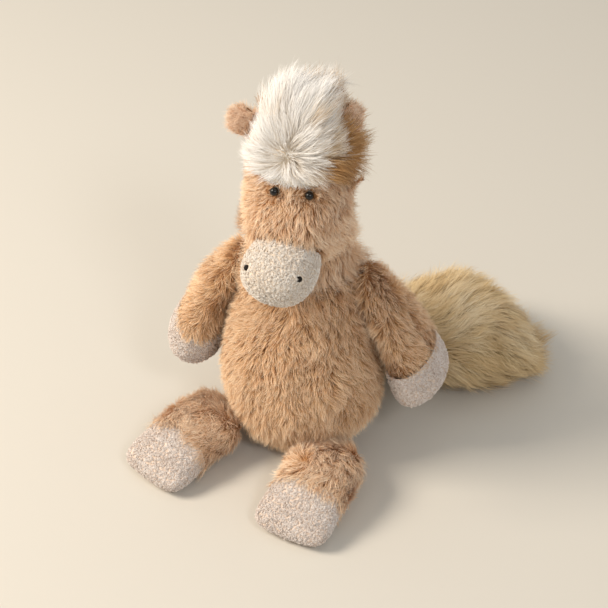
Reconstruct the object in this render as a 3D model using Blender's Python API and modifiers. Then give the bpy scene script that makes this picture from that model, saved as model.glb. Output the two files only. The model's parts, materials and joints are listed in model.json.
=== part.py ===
"""A seated plush horse with a large forelock and a long-haired tail, in metres, +Z up.

Fur-fabric covers are sewn over fibre stuffing, with a bean bag in the seat. The head turns
and nods on a packed ball of fibre in the neck. The arms turn on round shoulder seams, the legs
fold up and down at flat hip seams, and the tail and the ears swing on the seams that hold them.
The horse faces -Y, its own left side is +X, and the origin is the middle of its flat seat.
"""

import math

import bmesh
import bpy
import numpy as np
from mathutils import Vector

# Fabric thicknesses with their pile, and fits
PILE_WALL = 0.004
BOUCLE_WALL = 0.0035
FIT = 0.0003
STUFFING_FIT = 0.0007
FLOOR_PRESS = 0.0005
CUT_OVERRUN = 0.02

# Torso, from the seat up to the neck opening
TORSO_HEIGHT = 0.176
TORSO_WIDTH = 0.130
TORSO_FRONT = 0.064
TORSO_BACK = 0.060
TORSO_SHARES = (
    (0.000, 0.30, 0.30, 0.30),
    (0.010, 0.46, 0.46, 0.46),
    (0.080, 0.74, 0.73, 0.75),
    (0.220, 0.95, 0.94, 0.95),
    (0.400, 1.00, 1.00, 1.00),
    (0.600, 0.94, 0.91, 0.93),
    (0.790, 0.81, 0.77, 0.80),
    (0.920, 0.70, 0.68, 0.70),
)
BEAN_BAG_HEIGHT = 0.042
STUFFING_TOP_DROP = 0.022

# Neck ball, and the head from the neck opening up to the crown
NECK_RADIUS = 0.036
NECK_FIT = 0.0008
NECK_HEM = 0.008
NECK_LOW_ANGLE = math.radians(-58)
NECK_HIGH_ANGLE = math.radians(24)
NECK_RINGS = 4
HEAD_TURN = math.radians(15)
HEAD_HEIGHT = 0.142
HEAD_WIDTH = 0.086
HEAD_FRONT = 0.056
HEAD_BACK = 0.042
HEAD_SHARES = (
    (0.180, 0.91, 0.76, 0.91),
    (0.260, 0.99, 0.95, 0.97),
    (0.370, 1.00, 1.00, 1.00),
    (0.500, 1.00, 0.89, 1.00),
    (0.640, 0.98, 0.75, 0.99),
    (0.780, 0.93, 0.67, 0.96),
    (0.900, 0.78, 0.54, 0.82),
    (0.975, 0.50, 0.34, 0.54),
    (1.000, 0.22, 0.16, 0.22),
)

# Muzzle, a padded cap on the front of the head
MUZZLE_HEIGHT = 0.032
MUZZLE_START = 0.030
MUZZLE_LENGTH = 0.059
MUZZLE_WIDTH = 0.062
MUZZLE_DEPTH = 0.050
MUZZLE_PITCH = math.radians(12)
MUZZLE_TURN = math.radians(-7.5)
MUZZLE_SHARES = (
    (0.00, 0.78, 0.80, 0.80),
    (0.30, 0.96, 0.97, 0.97),
    (0.55, 1.00, 1.00, 1.00),
    (0.78, 0.88, 0.88, 0.88),
    (0.93, 0.60, 0.60, 0.60),
    (1.00, 0.26, 0.26, 0.26),
)
NOSTRIL_SPREAD = 0.045
NOSTRIL_RISE = 0.013
NOSTRIL_DIAMETER = 0.0048
NOSTRIL_PROUD = 0.0010

# Bead eyes, each with a shank through the fabric and a washer behind it
EYE_SPREAD = 0.0275
EYE_HEIGHT = 0.083
EYE_DIAMETER = 0.0066
EYE_PROUD = 0.0020
EYE_SHANK_DIAMETER = 0.0022
EYE_WASHER_DIAMETER = 0.009
EYE_WASHER_THICKNESS = 0.0014

# Ears, each a furry back panel and a lining panel
EAR_HEIGHT = {"left": 0.106, "right": 0.106}
EAR_BACK = {"left": 0.008, "right": 0.006}
EAR_LENGTH = 0.021
EAR_WIDTH = 0.026
EAR_THICKNESS = 0.0085
EAR_HEM = 0.0012
EAR_LEAN = math.radians(72)
EAR_SWEEP = {"left": math.radians(58), "right": math.radians(12)}
EAR_SHARES = (
    (0.22, 0.86, 0.66),
    (0.55, 1.00, 1.00),
    (0.82, 0.84, 0.92),
    (1.00, 0.42, 0.50),
)

# Forelock and mane, both of long pile
FORELOCK_LOW = 0.090
FORELOCK_HEIGHT = 0.070
FORELOCK_WIDTH = 0.088
FORELOCK_FRONT = 0.052
FORELOCK_BACK = 0.030
FORELOCK_SHARES = (
    (0.00, 0.34, 0.86, -0.80),
    (0.14, 0.70, 0.98, -0.30),
    (0.34, 0.93, 1.00, 0.40),
    (0.55, 1.00, 0.92, 0.85),
    (0.75, 0.88, 0.72, 0.92),
    (0.91, 0.62, 0.44, 0.66),
    (1.00, 0.28, 0.16, 0.28),
)
MANE_LOW = 0.030
MANE_HEIGHT = 0.118
MANE_WIDTH = 0.088
MANE_START = 0.014
MANE_BACK = 0.058
MANE_SHARES = (
    (0.00, 0.28, 0.74),
    (0.14, 0.46, 0.90),
    (0.40, 0.74, 1.00),
    (0.68, 1.00, 1.00),
    (0.88, 0.86, 0.82),
    (1.00, 0.44, 0.50),
)

# Arms, from above the shoulder seam down to the hoof's end
SHOULDER_HEIGHT = 0.152
CHEST_TURN = math.radians(10)
SHOULDER_TILT = math.radians(18)
SHOULDER_STANDOFF = 0.0018
ARM_DROOP = math.radians(25)
ARM_SWING_BACK = math.radians(6)
ARM_TOP = 0.024
ARM_LENGTH = 0.104
ARM_WIDTH = 0.060
ARM_OUTER = 0.035
ARM_INNER = 0.006
ARM_HOOF_SHARE = 0.74
ARM_SHARES = (
    (0.00, 0.34, 0.38, -1.2),
    (0.06, 0.54, 0.46, 0.2),
    (0.20, 0.74, 0.58, 1.0),
    (0.40, 0.90, 0.72, 1.0),
    (0.60, 1.02, 0.82, 1.5),
    (0.78, 1.14, 0.88, 2.5),
    (0.90, 1.20, 0.88, 2.9),
    (0.97, 1.14, 0.80, 2.8),
    (1.00, 0.96, 0.66, 2.2),
)
SHOULDER_SEAT_RADIUS = 0.500

# Legs, from the hip seam out to the hoof's end
HIP_HEIGHT = 0.024
HIP_AZIMUTH = {"left": math.radians(42), "right": math.radians(-46)}
HIP_SEAM_RADIUS = 0.0046
HIP_SEAM_WIDTH = 0.038
HIP_STANDOFF = 0.0038
LEG_BEND = {"left": math.radians(-43), "right": math.radians(30)}
LEG_BEND_LENGTH = 0.040
LEG_LENGTH = 0.095
LEG_WIDTH = 0.060
LEG_UP = 0.014
LEG_HOOF_SHARE = 0.60
LEG_SHARES = (
    (0.14, 1.04, 1.00, 0.60),
    (0.30, 1.04, 1.34, 0.94),
    (0.46, 1.02, 1.20, 1.00),
    (0.60, 1.00, 0.88, 1.00),
    (0.76, 1.05, 0.46, 1.00),
    (0.90, 1.03, -0.02, 0.97),
    (0.97, 0.86, -0.42, 0.82),
    (1.00, 0.54, -0.72, 0.64),
)
LIMB_SQUARENESS = 0.86

# Tail, from the seam in the back out to the plume's end
TAIL_SEAT_HEIGHT = 0.030
TAIL_AZIMUTH = math.radians(165)
TAIL_SEAM_RADIUS = 0.0046
TAIL_SEAM_WIDTH = 0.026
TAIL_STANDOFF = 0.0036
TAIL_BEND = math.radians(-35)
TAIL_BEND_LENGTH = 0.045
TAIL_LENGTH = 0.178
TAIL_WIDTH = 0.118
TAIL_UP = 0.045
TAIL_WALL = 0.014
TAIL_OPENING = 0.005
TAIL_SHARES = (
    (0.12, 0.26, 0.62, 0.66),
    (0.28, 0.62, 0.90, 0.96),
    (0.50, 0.95, 1.00, 1.00),
    (0.70, 1.00, 0.90, 1.00),
    (0.86, 0.84, 0.52, 0.99),
    (0.96, 0.54, 0.10, 0.88),
    (1.00, 0.28, -0.20, 0.72),
)

# Rounded end of a flat seam, as shares of its radius and of its width
SEAM_SHARES = ((0.92, 0.30, 0.80), (0.76, 0.58, 0.94), (0.00, 0.98, 1.00))

# Mesh densities
FORM_SIDES = 10
EAR_SIDES = 8
BALL_SIDES = 24
SEAT_SIDES = 32
SMALL_SIDES = 16
BEAD_STEPS = 5
FORM_LEVELS = 1
SHARP_ANGLE = math.radians(50)
MERGE_DISTANCE = 0.000003

SIDES = {"left": 1, "right": -1}
FUR_TAN = (0.72, 0.45, 0.26)
FUR_CREAM = (0.86, 0.78, 0.66)
FUR_TAIL = (0.74, 0.62, 0.42)
BOUCLE_OAT = (0.80, 0.68, 0.55)
LINING_PINK = (0.80, 0.52, 0.40)
BEAD_BLACK = (0.01, 0.01, 0.011)
THREAD_BLACK = (0.015, 0.014, 0.014)
FIBRE_WHITE = (0.85, 0.85, 0.83)
POUCH_CLOTH = (0.75, 0.72, 0.66)
WASHER_NYLON = (0.80, 0.79, 0.76)
FUR_ROUGHNESS = 0.9
LONG_FUR_ROUGHNESS = 0.85
BOUCLE_ROUGHNESS = 0.95
BEAD_ROUGHNESS = 0.08
THREAD_ROUGHNESS = 0.8
NYLON_ROUGHNESS = 0.5


def clear_scene():
    for old in list(bpy.data.objects):
        bpy.data.objects.remove(old)


def new_collection(name):
    made = bpy.data.collections.new(name)
    bpy.context.scene.collection.children.link(made)
    return made


clear_scene()
HORSE = new_collection("plush_horse")
CUTTERS = new_collection("cutters")


def finish(name, colour, roughness):
    """A Principled material of one colour."""
    material = bpy.data.materials.new(name)
    material.use_nodes = True
    shader = material.node_tree.nodes["Principled BSDF"]
    shader.inputs["Base Color"].default_value = (*colour, 1)
    shader.inputs["Roughness"].default_value = roughness
    shader.inputs["Metallic"].default_value = 0
    return material


TAN_FUR = finish("tan_fur", FUR_TAN, FUR_ROUGHNESS)
CREAM_FUR = finish("cream_fur", FUR_CREAM, LONG_FUR_ROUGHNESS)
TAIL_FUR = finish("tail_fur", FUR_TAIL, LONG_FUR_ROUGHNESS)
BOUCLE = finish("oat_boucle", BOUCLE_OAT, BOUCLE_ROUGHNESS)
EAR_LINING = finish("ear_lining", LINING_PINK, FUR_ROUGHNESS)
BLACK_BEAD = finish("black_bead", BEAD_BLACK, BEAD_ROUGHNESS)
BLACK_THREAD = finish("black_thread", THREAD_BLACK, THREAD_ROUGHNESS)
FIBRE = finish("fibre_stuffing", FIBRE_WHITE, BOUCLE_ROUGHNESS)
POUCH = finish("bean_pouch", POUCH_CLOTH, FUR_ROUGHNESS)
NYLON = finish("nylon_washer", WASHER_NYLON, NYLON_ROUGHNESS)


def pivot(name, location, rotation=(0, 0, 0), parent=None):
    """An empty that a piece is placed by, on its joint's axis where it moves."""
    made = bpy.data.objects.new(name, None)
    made.location = location
    made.rotation_euler = rotation
    made.parent = parent
    HORSE.objects.link(made)
    return made


def place(name, mesh, parent=None, material=None, location=(0, 0, 0), rotation=(0, 0, 0)):
    """A piece if it has a material, or else a hidden cutter."""
    made = bpy.data.objects.new(name, mesh)
    made.parent = parent
    made.location = location
    made.rotation_euler = rotation
    if material:
        if not mesh.materials:
            mesh.materials.append(material)
        mesh.shade_smooth()
        mesh.set_sharp_from_angle(angle=SHARP_ANGLE)
        HORSE.objects.link(made)
    else:
        made.hide_render = True
        made.display_type = "WIRE"
        CUTTERS.objects.link(made)
    return made


def mesh_from(bm, name):
    bmesh.ops.recalc_face_normals(bm, faces=bm.faces)
    mesh = bpy.data.meshes.new(name)
    bm.to_mesh(mesh)
    bm.free()
    return mesh


def through(values):
    """Cage values whose smoothed surface passes through the values given, ends kept."""
    weights = np.eye(len(values))
    for i in range(1, len(values) - 1):
        weights[i, i - 1 : i + 2] = (1 / 6, 4 / 6, 1 / 6)
    return np.linalg.solve(weights, np.array(values, float))


def smoothed_profile(rows):
    """The rows with the points that one level of smoothing puts between them."""
    cage = np.array([through(column) for column in np.array(rows, float).T]).T
    cage = np.vstack([2 * cage[0] - cage[1], cage, 2 * cage[-1] - cage[-2]])
    between = (cage[:-3] + 23 * cage[1:-2] + 23 * cage[2:-1] + cage[3:]) / 48
    profile = np.empty((2 * len(rows) - 1, len(rows[0])))
    profile[0::2] = rows
    profile[1::2] = between
    return profile


def along_bend(distance, across, bend):
    """(x, z) of a point beside a line down -Z whose first length turns through an angle to +X."""
    length, angle = bend
    turned = angle * min(max(distance, 0), length) / length
    straight = max(distance - length, 0)
    radius = length / angle
    middle_x = radius * (1 - math.cos(turned)) + straight * math.sin(turned)
    middle_z = -radius * math.sin(turned) - straight * math.cos(turned) - min(distance, 0)
    return middle_x + across * math.cos(turned), middle_z + across * math.sin(turned)


def oval_loft(name, rows, growth=1, sides=FORM_SIDES, squareness=1.0, bend=None):
    """Oval rings up local Z: rows are (height, half width, reach to -Y, reach to +Y)."""
    bm = bmesh.new()
    rings = []
    for height, half_width, near, far in rows:
        ring = bmesh.ops.create_circle(bm, segments=sides, radius=1, cap_ends=False)["verts"]
        for vert in ring:
            across = math.copysign(abs(vert.co.x) ** squareness, vert.co.x)
            along = math.copysign(abs(vert.co.y) ** squareness, vert.co.y)
            vert.co.x = across * half_width * growth
            vert.co.y = (far - near) / 2 + along * (far + near) / 2 * growth
            vert.co.z = height
            if bend:
                vert.co.x, vert.co.z = along_bend(-height, vert.co.x, bend)
        rings.append(list({edge for vert in ring for edge in vert.link_edges}))
    for low, high in zip(rings[:-1], rings[1:]):
        bmesh.ops.bridge_loops(bm, edges=low + high)
    bmesh.ops.contextual_create(bm, geom=rings[0])
    bmesh.ops.contextual_create(bm, geom=rings[-1])
    return mesh_from(bm, name)


def swelling_cage(name, rows, sides=FORM_SIDES, **shape):
    """A loft whose smoothed surface passes through its rows."""
    cage = np.array([through(column) for column in np.array(rows, float).T]).T
    growth = 3 / (2 + math.cos(math.tau / sides))
    return oval_loft(name, cage, growth, sides, **shape)


def smooth(made):
    modifier = made.modifiers.new("smooth", "SUBSURF")
    modifier.levels = FORM_LEVELS
    modifier.render_levels = FORM_LEVELS
    return made


def inset(made, depth):
    """Moves a closed surface in by a depth, or out by a negative one."""
    modifier = made.modifiers.new("inset", "DISPLACE")
    modifier.strength = -depth
    modifier.mid_level = 0
    return made


def cut(made, *cutters):
    for cutter in cutters:
        modifier = made.modifiers.new("cut_" + cutter.name, "BOOLEAN")
        modifier.operation = "DIFFERENCE"
        modifier.object = cutter
    return made


def form(name, rows, parent, material, location=(0, 0, 0), rotation=(0, 0, 0), **shape):
    """A closed swelling form, smoothed."""
    return smooth(
        place(name, swelling_cage(name, rows, **shape), parent, material, location, rotation)
    )


def filling(name, rows, wall, parent, material=None, rotation=(0, 0, 0), **shape):
    """What a cover of that wall holds, or the hollow itself where it has no material."""
    made = place(name, oval_loft(name, rows, **shape), parent, material, rotation=rotation)
    facets = made.modifiers.new("facets", "TRIANGULATE")
    facets.quad_method = "FIXED"
    return inset(made, wall)


def box_cutter(name, low, high, parent=None):
    low, high = Vector(low), Vector(high)
    bm = bmesh.new()
    bmesh.ops.create_cube(bm, size=1)
    bmesh.ops.scale(bm, vec=high - low, verts=bm.verts)
    bmesh.ops.translate(bm, vec=(low + high) / 2, verts=bm.verts)
    return place(name, mesh_from(bm, name), parent)


def ball_mesh(name, radius, sides):
    bm = bmesh.new()
    bmesh.ops.create_uvsphere(bm, u_segments=sides, v_segments=sides // 2, radius=radius)
    return mesh_from(bm, name)


def turned_mesh(name, profile):
    """A profile of (radius, distance along -Y) points, turned about Y."""
    bm = bmesh.new()
    verts = [bm.verts.new((radius, -along, 0)) for radius, along in profile]
    edges = [bm.edges.new(pair) for pair in zip(verts[:-1], verts[1:])]
    bmesh.ops.spin(
        bm,
        geom=verts + edges,
        axis=(0, 1, 0),
        cent=(0, 0, 0),
        angle=math.tau,
        steps=SMALL_SIDES,
        use_merge=True,
    )
    bmesh.ops.remove_doubles(bm, verts=bm.verts, dist=MERGE_DISTANCE)
    return mesh_from(bm, name)


def rod_mesh(name, radius, length, axis):
    """A cylinder about the origin, along a local axis."""
    bm = bmesh.new()
    bmesh.ops.create_cone(
        bm, cap_ends=True, segments=SMALL_SIDES, radius1=radius, radius2=radius, depth=length
    )
    turn = Vector((0, 0, 1)).rotation_difference(Vector(axis)).to_matrix()
    bmesh.ops.rotate(bm, cent=(0, 0, 0), matrix=turn, verts=bm.verts)
    return mesh_from(bm, name)


def scaled(shares, *sizes):
    """Rows of shares as rows of sizes."""
    return [tuple(share * size for share, size in zip(row, sizes)) for row in shares]


def lowered(rows, depth):
    return [(row[0] - depth, *row[1:]) for row in rows]


def facing(normal):
    """The rotation that turns local -Y to a direction."""
    return Vector(normal).to_track_quat("-Y", "Z").to_euler()


# Torso: cover, stuffing and the bean bag that weights the seat
NECK_OPENING = NECK_RADIUS + NECK_FIT + PILE_WALL
TORSO_ROWS = lowered(
    scaled(TORSO_SHARES, TORSO_HEIGHT, TORSO_WIDTH / 2, TORSO_FRONT, TORSO_BACK), FLOOR_PRESS
) + [(TORSO_HEIGHT, *([NECK_OPENING] * 3))]
TORSO_PROFILE = smoothed_profile(TORSO_ROWS)
REACH = TORSO_HEIGHT + HEAD_HEIGHT + TAIL_LENGTH + LEG_LENGTH


def torso_reach(height, azimuth):
    """The torso's radius at a height, along a direction given by its angle from -Y to +X."""
    half_width = np.interp(height, TORSO_PROFILE[:, 0], TORSO_PROFILE[:, 1])
    near = np.interp(height, TORSO_PROFILE[:, 0], TORSO_PROFILE[:, 2])
    far = np.interp(height, TORSO_PROFILE[:, 0], TORSO_PROFILE[:, 3])
    middle, half_depth = (far - near) / 2, (far + near) / 2
    out = Vector((math.sin(azimuth), -math.cos(azimuth)))
    a = (out.x / half_width) ** 2 + (out.y / half_depth) ** 2
    b = -2 * out.y * middle / half_depth**2
    c = (middle / half_depth) ** 2 - 1
    return (-b + math.sqrt(b * b - 4 * a * c)) / (2 * a)


def torso_pivot(name, height, azimuth, standoff):
    """An empty off the torso's surface whose local -Y points straight out of it."""
    reach = torso_reach(height, azimuth) + standoff
    location = (reach * math.sin(azimuth), -reach * math.cos(azimuth), height)
    return pivot(name, location, (0, 0, azimuth))


FLOOR_CUT = box_cutter("floor_cut", (-REACH, -REACH, -CUT_OVERRUN), (REACH, REACH, 0))
ABOVE_BEANS_CUT = box_cutter(
    "above_beans_cut", (-TORSO_WIDTH, -TORSO_WIDTH, BEAN_BAG_HEIGHT), (TORSO_WIDTH, TORSO_WIDTH, REACH)
)
BELOW_STUFFING_CUT = box_cutter(
    "below_stuffing_cut",
    (-TORSO_WIDTH, -TORSO_WIDTH, -CUT_OVERRUN),
    (TORSO_WIDTH, TORSO_WIDTH, BEAN_BAG_HEIGHT + FIT),
)
ABOVE_STUFFING_CUT = box_cutter(
    "above_stuffing_cut",
    (-TORSO_WIDTH, -TORSO_WIDTH, TORSO_HEIGHT - STUFFING_TOP_DROP),
    (TORSO_WIDTH, TORSO_WIDTH, REACH),
)
NECK_PIVOT = pivot("neck_pivot", (0, 0, TORSO_HEIGHT), (0, 0, HEAD_TURN))
NECK_SEAT_CUT = place(
    "neck_seat_cut",
    ball_mesh("neck_seat", NECK_RADIUS + NECK_FIT, SEAT_SIDES),
    location=NECK_PIVOT.location,
)
TORSO_HOLLOW_ROWS = TORSO_ROWS[:-1] + lowered(TORSO_ROWS[-1:], NECK_HEM)
TORSO_HOLLOW = filling("torso_hollow", TORSO_HOLLOW_ROWS, PILE_WALL, None)

TORSO_COVER = form("torso_cover", TORSO_ROWS, None, TAN_FUR)
cut(TORSO_COVER, TORSO_HOLLOW, NECK_SEAT_CUT, FLOOR_CUT)
TORSO_STUFFING = filling("torso_stuffing", TORSO_ROWS, PILE_WALL + STUFFING_FIT, None, FIBRE)
cut(TORSO_STUFFING, BELOW_STUFFING_CUT, ABOVE_STUFFING_CUT, NECK_SEAT_CUT)
BEAN_BAG = filling("bean_bag", TORSO_ROWS, PILE_WALL + STUFFING_FIT, None, POUCH)
cut(BEAN_BAG, ABOVE_BEANS_CUT)

# Head: a cover that ends in a ball at the neck, with its stuffing and the packed neck ball
NECK_ANGLES = np.linspace(NECK_LOW_ANGLE, NECK_HIGH_ANGLE, NECK_RINGS)
NECK_ROWS = [
    (NECK_RADIUS * math.sin(a), *([NECK_RADIUS * math.cos(a)] * 3)) for a in NECK_ANGLES
]
HEAD_ROWS = NECK_ROWS + scaled(HEAD_SHARES, HEAD_HEIGHT, HEAD_WIDTH / 2, HEAD_FRONT, HEAD_BACK)
HEAD_PROFILE = smoothed_profile(HEAD_ROWS)


def head_oval(height):
    """The head's half width there, the y of its oval's middle and the oval's half depth."""
    half_width, near, far = (
        np.interp(height, HEAD_PROFILE[:, 0], HEAD_PROFILE[:, i]) for i in (1, 2, 3)
    )
    return half_width, (far - near) / 2, (far + near) / 2


def head_front(height, across):
    """The y of the head's front surface at a height and a distance from its middle."""
    half_width, middle, half_depth = head_oval(height)
    return middle - half_depth * math.sqrt(1 - (across / half_width) ** 2)


def head_side(height, back):
    """The x of the head's side at a height and a y."""
    half_width, middle, half_depth = head_oval(height)
    return half_width * math.sqrt(1 - ((back - middle) / half_depth) ** 2)


HEAD_FORM_CUT = inset(form("head_form_cut", HEAD_ROWS, NECK_PIVOT, None), -FIT)
HEAD_HOLLOW = filling("head_hollow", HEAD_ROWS, PILE_WALL, NECK_PIVOT)
NECK_BALL_CUT = place(
    "neck_ball_cut", ball_mesh("neck_ball_seat", NECK_RADIUS - PILE_WALL, BALL_SIDES), NECK_PIVOT
)

HEAD_COVER = form("head_cover", HEAD_ROWS, NECK_PIVOT, TAN_FUR)
cut(HEAD_COVER, HEAD_HOLLOW, NECK_BALL_CUT)
HEAD_STUFFING = filling(
    "head_stuffing", HEAD_ROWS, PILE_WALL + STUFFING_FIT, NECK_PIVOT, FIBRE
)
cut(HEAD_STUFFING, NECK_BALL_CUT)
NECK_STUFFING = place(
    "neck_stuffing",
    ball_mesh("neck_stuffing", NECK_RADIUS - PILE_WALL - NECK_FIT, BALL_SIDES),
    NECK_PIVOT,
    FIBRE,
)

# Eyes: beads on shanks that pass through the cover, each held by a washer behind it
EYE_SHANK_RADIUS = EYE_SHANK_DIAMETER / 2
EYE_SHANK_END = PILE_WALL + EYE_WASHER_THICKNESS + 2 * STUFFING_FIT


def eye_profile(grown):
    """The bead, set proud of the surface, and its shank."""
    radius = EYE_DIAMETER / 2 + grown
    shank = EYE_SHANK_RADIUS + grown
    middle = EYE_PROUD - EYE_DIAMETER / 2
    join = math.asin(shank / radius)
    arc = np.linspace(0, math.pi - join, BEAD_STEPS)
    points = [(radius * math.sin(a), middle + radius * math.cos(a)) for a in arc]
    return points + [(shank, -EYE_SHANK_END - grown), (0, -EYE_SHANK_END - grown)]


def ring_profile(outer, inner, low, high):
    return [(inner, low), (outer, low), (outer, high), (inner, high), (inner, low)]


WASHER_LOW = -PILE_WALL - EYE_WASHER_THICKNESS - STUFFING_FIT
WASHER_HIGH = -PILE_WALL - STUFFING_FIT
WASHER_RADIUS = EYE_WASHER_DIAMETER / 2
for side, sign in SIDES.items():
    across = sign * EYE_SPREAD / 2
    slope = (head_front(EYE_HEIGHT, across + FIT) - head_front(EYE_HEIGHT, across - FIT)) / (2 * FIT)
    socket = pivot(
        "eye_socket_" + side,
        (across, head_front(EYE_HEIGHT, across), EYE_HEIGHT),
        facing((slope, -1, 0)),
        NECK_PIVOT,
    )
    place("eye_" + side, turned_mesh("eye", eye_profile(0)), socket, BLACK_BEAD)
    eye_hole = place("eye_hole_" + side, turned_mesh("eye_hole", eye_profile(FIT)), socket)
    place(
        "eye_washer_" + side,
        turned_mesh(
            "eye_washer", ring_profile(WASHER_RADIUS, EYE_SHANK_RADIUS + FIT, WASHER_LOW, WASHER_HIGH)
        ),
        socket,
        NYLON,
    )
    washer_seat = place(
        "washer_seat_" + side,
        turned_mesh(
            "washer_seat",
            [
                (0, WASHER_LOW - FIT),
                (WASHER_RADIUS + FIT, WASHER_LOW - FIT),
                (WASHER_RADIUS + FIT, WASHER_HIGH + FIT),
                (0, WASHER_HIGH + FIT),
            ],
        ),
        socket,
    )
    cut(HEAD_COVER, eye_hole, washer_seat)
    cut(HEAD_STUFFING, eye_hole, washer_seat)

# Muzzle: a cap of boucle over its own pad, sewn to the front of the head
MUZZLE_AXIS = pivot(
    "muzzle_axis",
    (0, -MUZZLE_START, MUZZLE_HEIGHT),
    (math.pi / 2 + MUZZLE_PITCH, 0, MUZZLE_TURN),
    NECK_PIVOT,
)
MUZZLE_ROWS = scaled(
    MUZZLE_SHARES, MUZZLE_LENGTH, MUZZLE_WIDTH / 2, MUZZLE_DEPTH / 2, MUZZLE_DEPTH / 2
)
MUZZLE_HOLLOW = filling("muzzle_hollow", MUZZLE_ROWS, BOUCLE_WALL, MUZZLE_AXIS)
MUZZLE_COVER = form("muzzle_cover", MUZZLE_ROWS, MUZZLE_AXIS, BOUCLE)
cut(MUZZLE_COVER, MUZZLE_HOLLOW, HEAD_FORM_CUT)
MUZZLE_STUFFING = filling(
    "muzzle_stuffing", MUZZLE_ROWS, BOUCLE_WALL + STUFFING_FIT, MUZZLE_AXIS, FIBRE
)
cut(MUZZLE_STUFFING, HEAD_FORM_CUT)

# Nostrils: knots of black thread, pulled into the muzzle
MUZZLE_HALF_WIDTH = MUZZLE_WIDTH / 2
MUZZLE_HALF_DEPTH = MUZZLE_DEPTH / 2
MUZZLE_PROFILE = smoothed_profile(MUZZLE_ROWS)
MUZZLE_TAPER = MUZZLE_PROFILE[int(np.argmax(MUZZLE_PROFILE[:, 1])) :][::-1]
NOSTRIL_RADIUS = NOSTRIL_DIAMETER / 2


def muzzle_point(across, rise):
    """Where the muzzle's tapering front is that far from its middle, and its normal there."""
    share = math.hypot(across / MUZZLE_HALF_WIDTH, rise / MUZZLE_HALF_DEPTH)
    widths = (share * MUZZLE_HALF_WIDTH, share * MUZZLE_HALF_WIDTH - FIT)
    low, high = np.interp(widths, MUZZLE_TAPER[:, 1], MUZZLE_TAPER[:, 0])
    taper = FIT / MUZZLE_HALF_WIDTH / (high - low)
    normal = (across / MUZZLE_HALF_WIDTH**2 / share, rise / MUZZLE_HALF_DEPTH**2 / share, taper)
    return (across, rise, low), normal


def knot_profile(grown):
    """A round knot, mostly below the surface."""
    radius = NOSTRIL_RADIUS + grown
    middle = NOSTRIL_PROUD - NOSTRIL_RADIUS
    arc = np.linspace(0, math.pi, BEAD_STEPS)
    return [(radius * math.sin(a), middle + radius * math.cos(a)) for a in arc]


for side, sign in SIDES.items():
    spot, normal = muzzle_point(sign * NOSTRIL_SPREAD / 2, NOSTRIL_RISE)
    dimple = pivot("nostril_dimple_" + side, spot, facing(normal), MUZZLE_AXIS)
    place("nostril_" + side, turned_mesh("nostril", knot_profile(0)), dimple, BLACK_THREAD)
    dent = place("nostril_dent_" + side, turned_mesh("nostril_dent", knot_profile(FIT)), dimple)
    cut(MUZZLE_COVER, dent)

# Ears: a furry back panel and a lining panel, sewn in at the side of the head
EAR_HEM_ROWS = [
    (EAR_HEM - EAR_HEM * share, width * EAR_WIDTH / 2, reach * EAR_HEM)
    for share, reach, width in SEAM_SHARES
]
EAR_ROWS = EAR_HEM_ROWS + scaled(EAR_SHARES, EAR_LENGTH, EAR_WIDTH / 2, EAR_THICKNESS / 2)
EAR_HALF_FIT = FIT / 2
for side, sign in SIDES.items():
    reach = head_side(EAR_HEIGHT[side], EAR_BACK[side]) + EAR_HEM + FIT
    ear_pivot = pivot(
        "ear_pivot_" + side,
        (sign * reach, EAR_BACK[side], EAR_HEIGHT[side]),
        (-EAR_SWEEP[side], sign * EAR_LEAN, 0),
        NECK_PIVOT,
    )
    for panel, facing_front, material in (
        ("ear_lining_", True, EAR_LINING),
        ("ear_back_", False, TAN_FUR),
    ):
        rows = [
            (height, width, depth, -EAR_HALF_FIT) if facing_front else (height, width, -EAR_HALF_FIT, depth)
            for height, width, depth in EAR_ROWS
        ]
        form(panel + side, rows, ear_pivot, material, sides=EAR_SIDES)

# Forelock and mane, cut to the head that they are sewn on
FORELOCK_ROWS = scaled(
    FORELOCK_SHARES, FORELOCK_HEIGHT, FORELOCK_WIDTH / 2, FORELOCK_FRONT, FORELOCK_BACK
)
FORELOCK_BASE = (0, 0, FORELOCK_LOW)
FORELOCK = form("forelock", FORELOCK_ROWS, NECK_PIVOT, CREAM_FUR, FORELOCK_BASE)
cut(FORELOCK, HEAD_FORM_CUT)
FORELOCK_CUT = inset(form("forelock_cut", FORELOCK_ROWS, NECK_PIVOT, None, FORELOCK_BASE), -FIT)
MANE_ROWS = [
    (share * MANE_HEIGHT, width * MANE_WIDTH / 2, -MANE_START, back * MANE_BACK)
    for share, width, back in MANE_SHARES
]
MANE = form("mane", MANE_ROWS, NECK_PIVOT, TAN_FUR, (0, 0, MANE_LOW))
cut(MANE, HEAD_FORM_CUT, FORELOCK_CUT)

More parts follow.
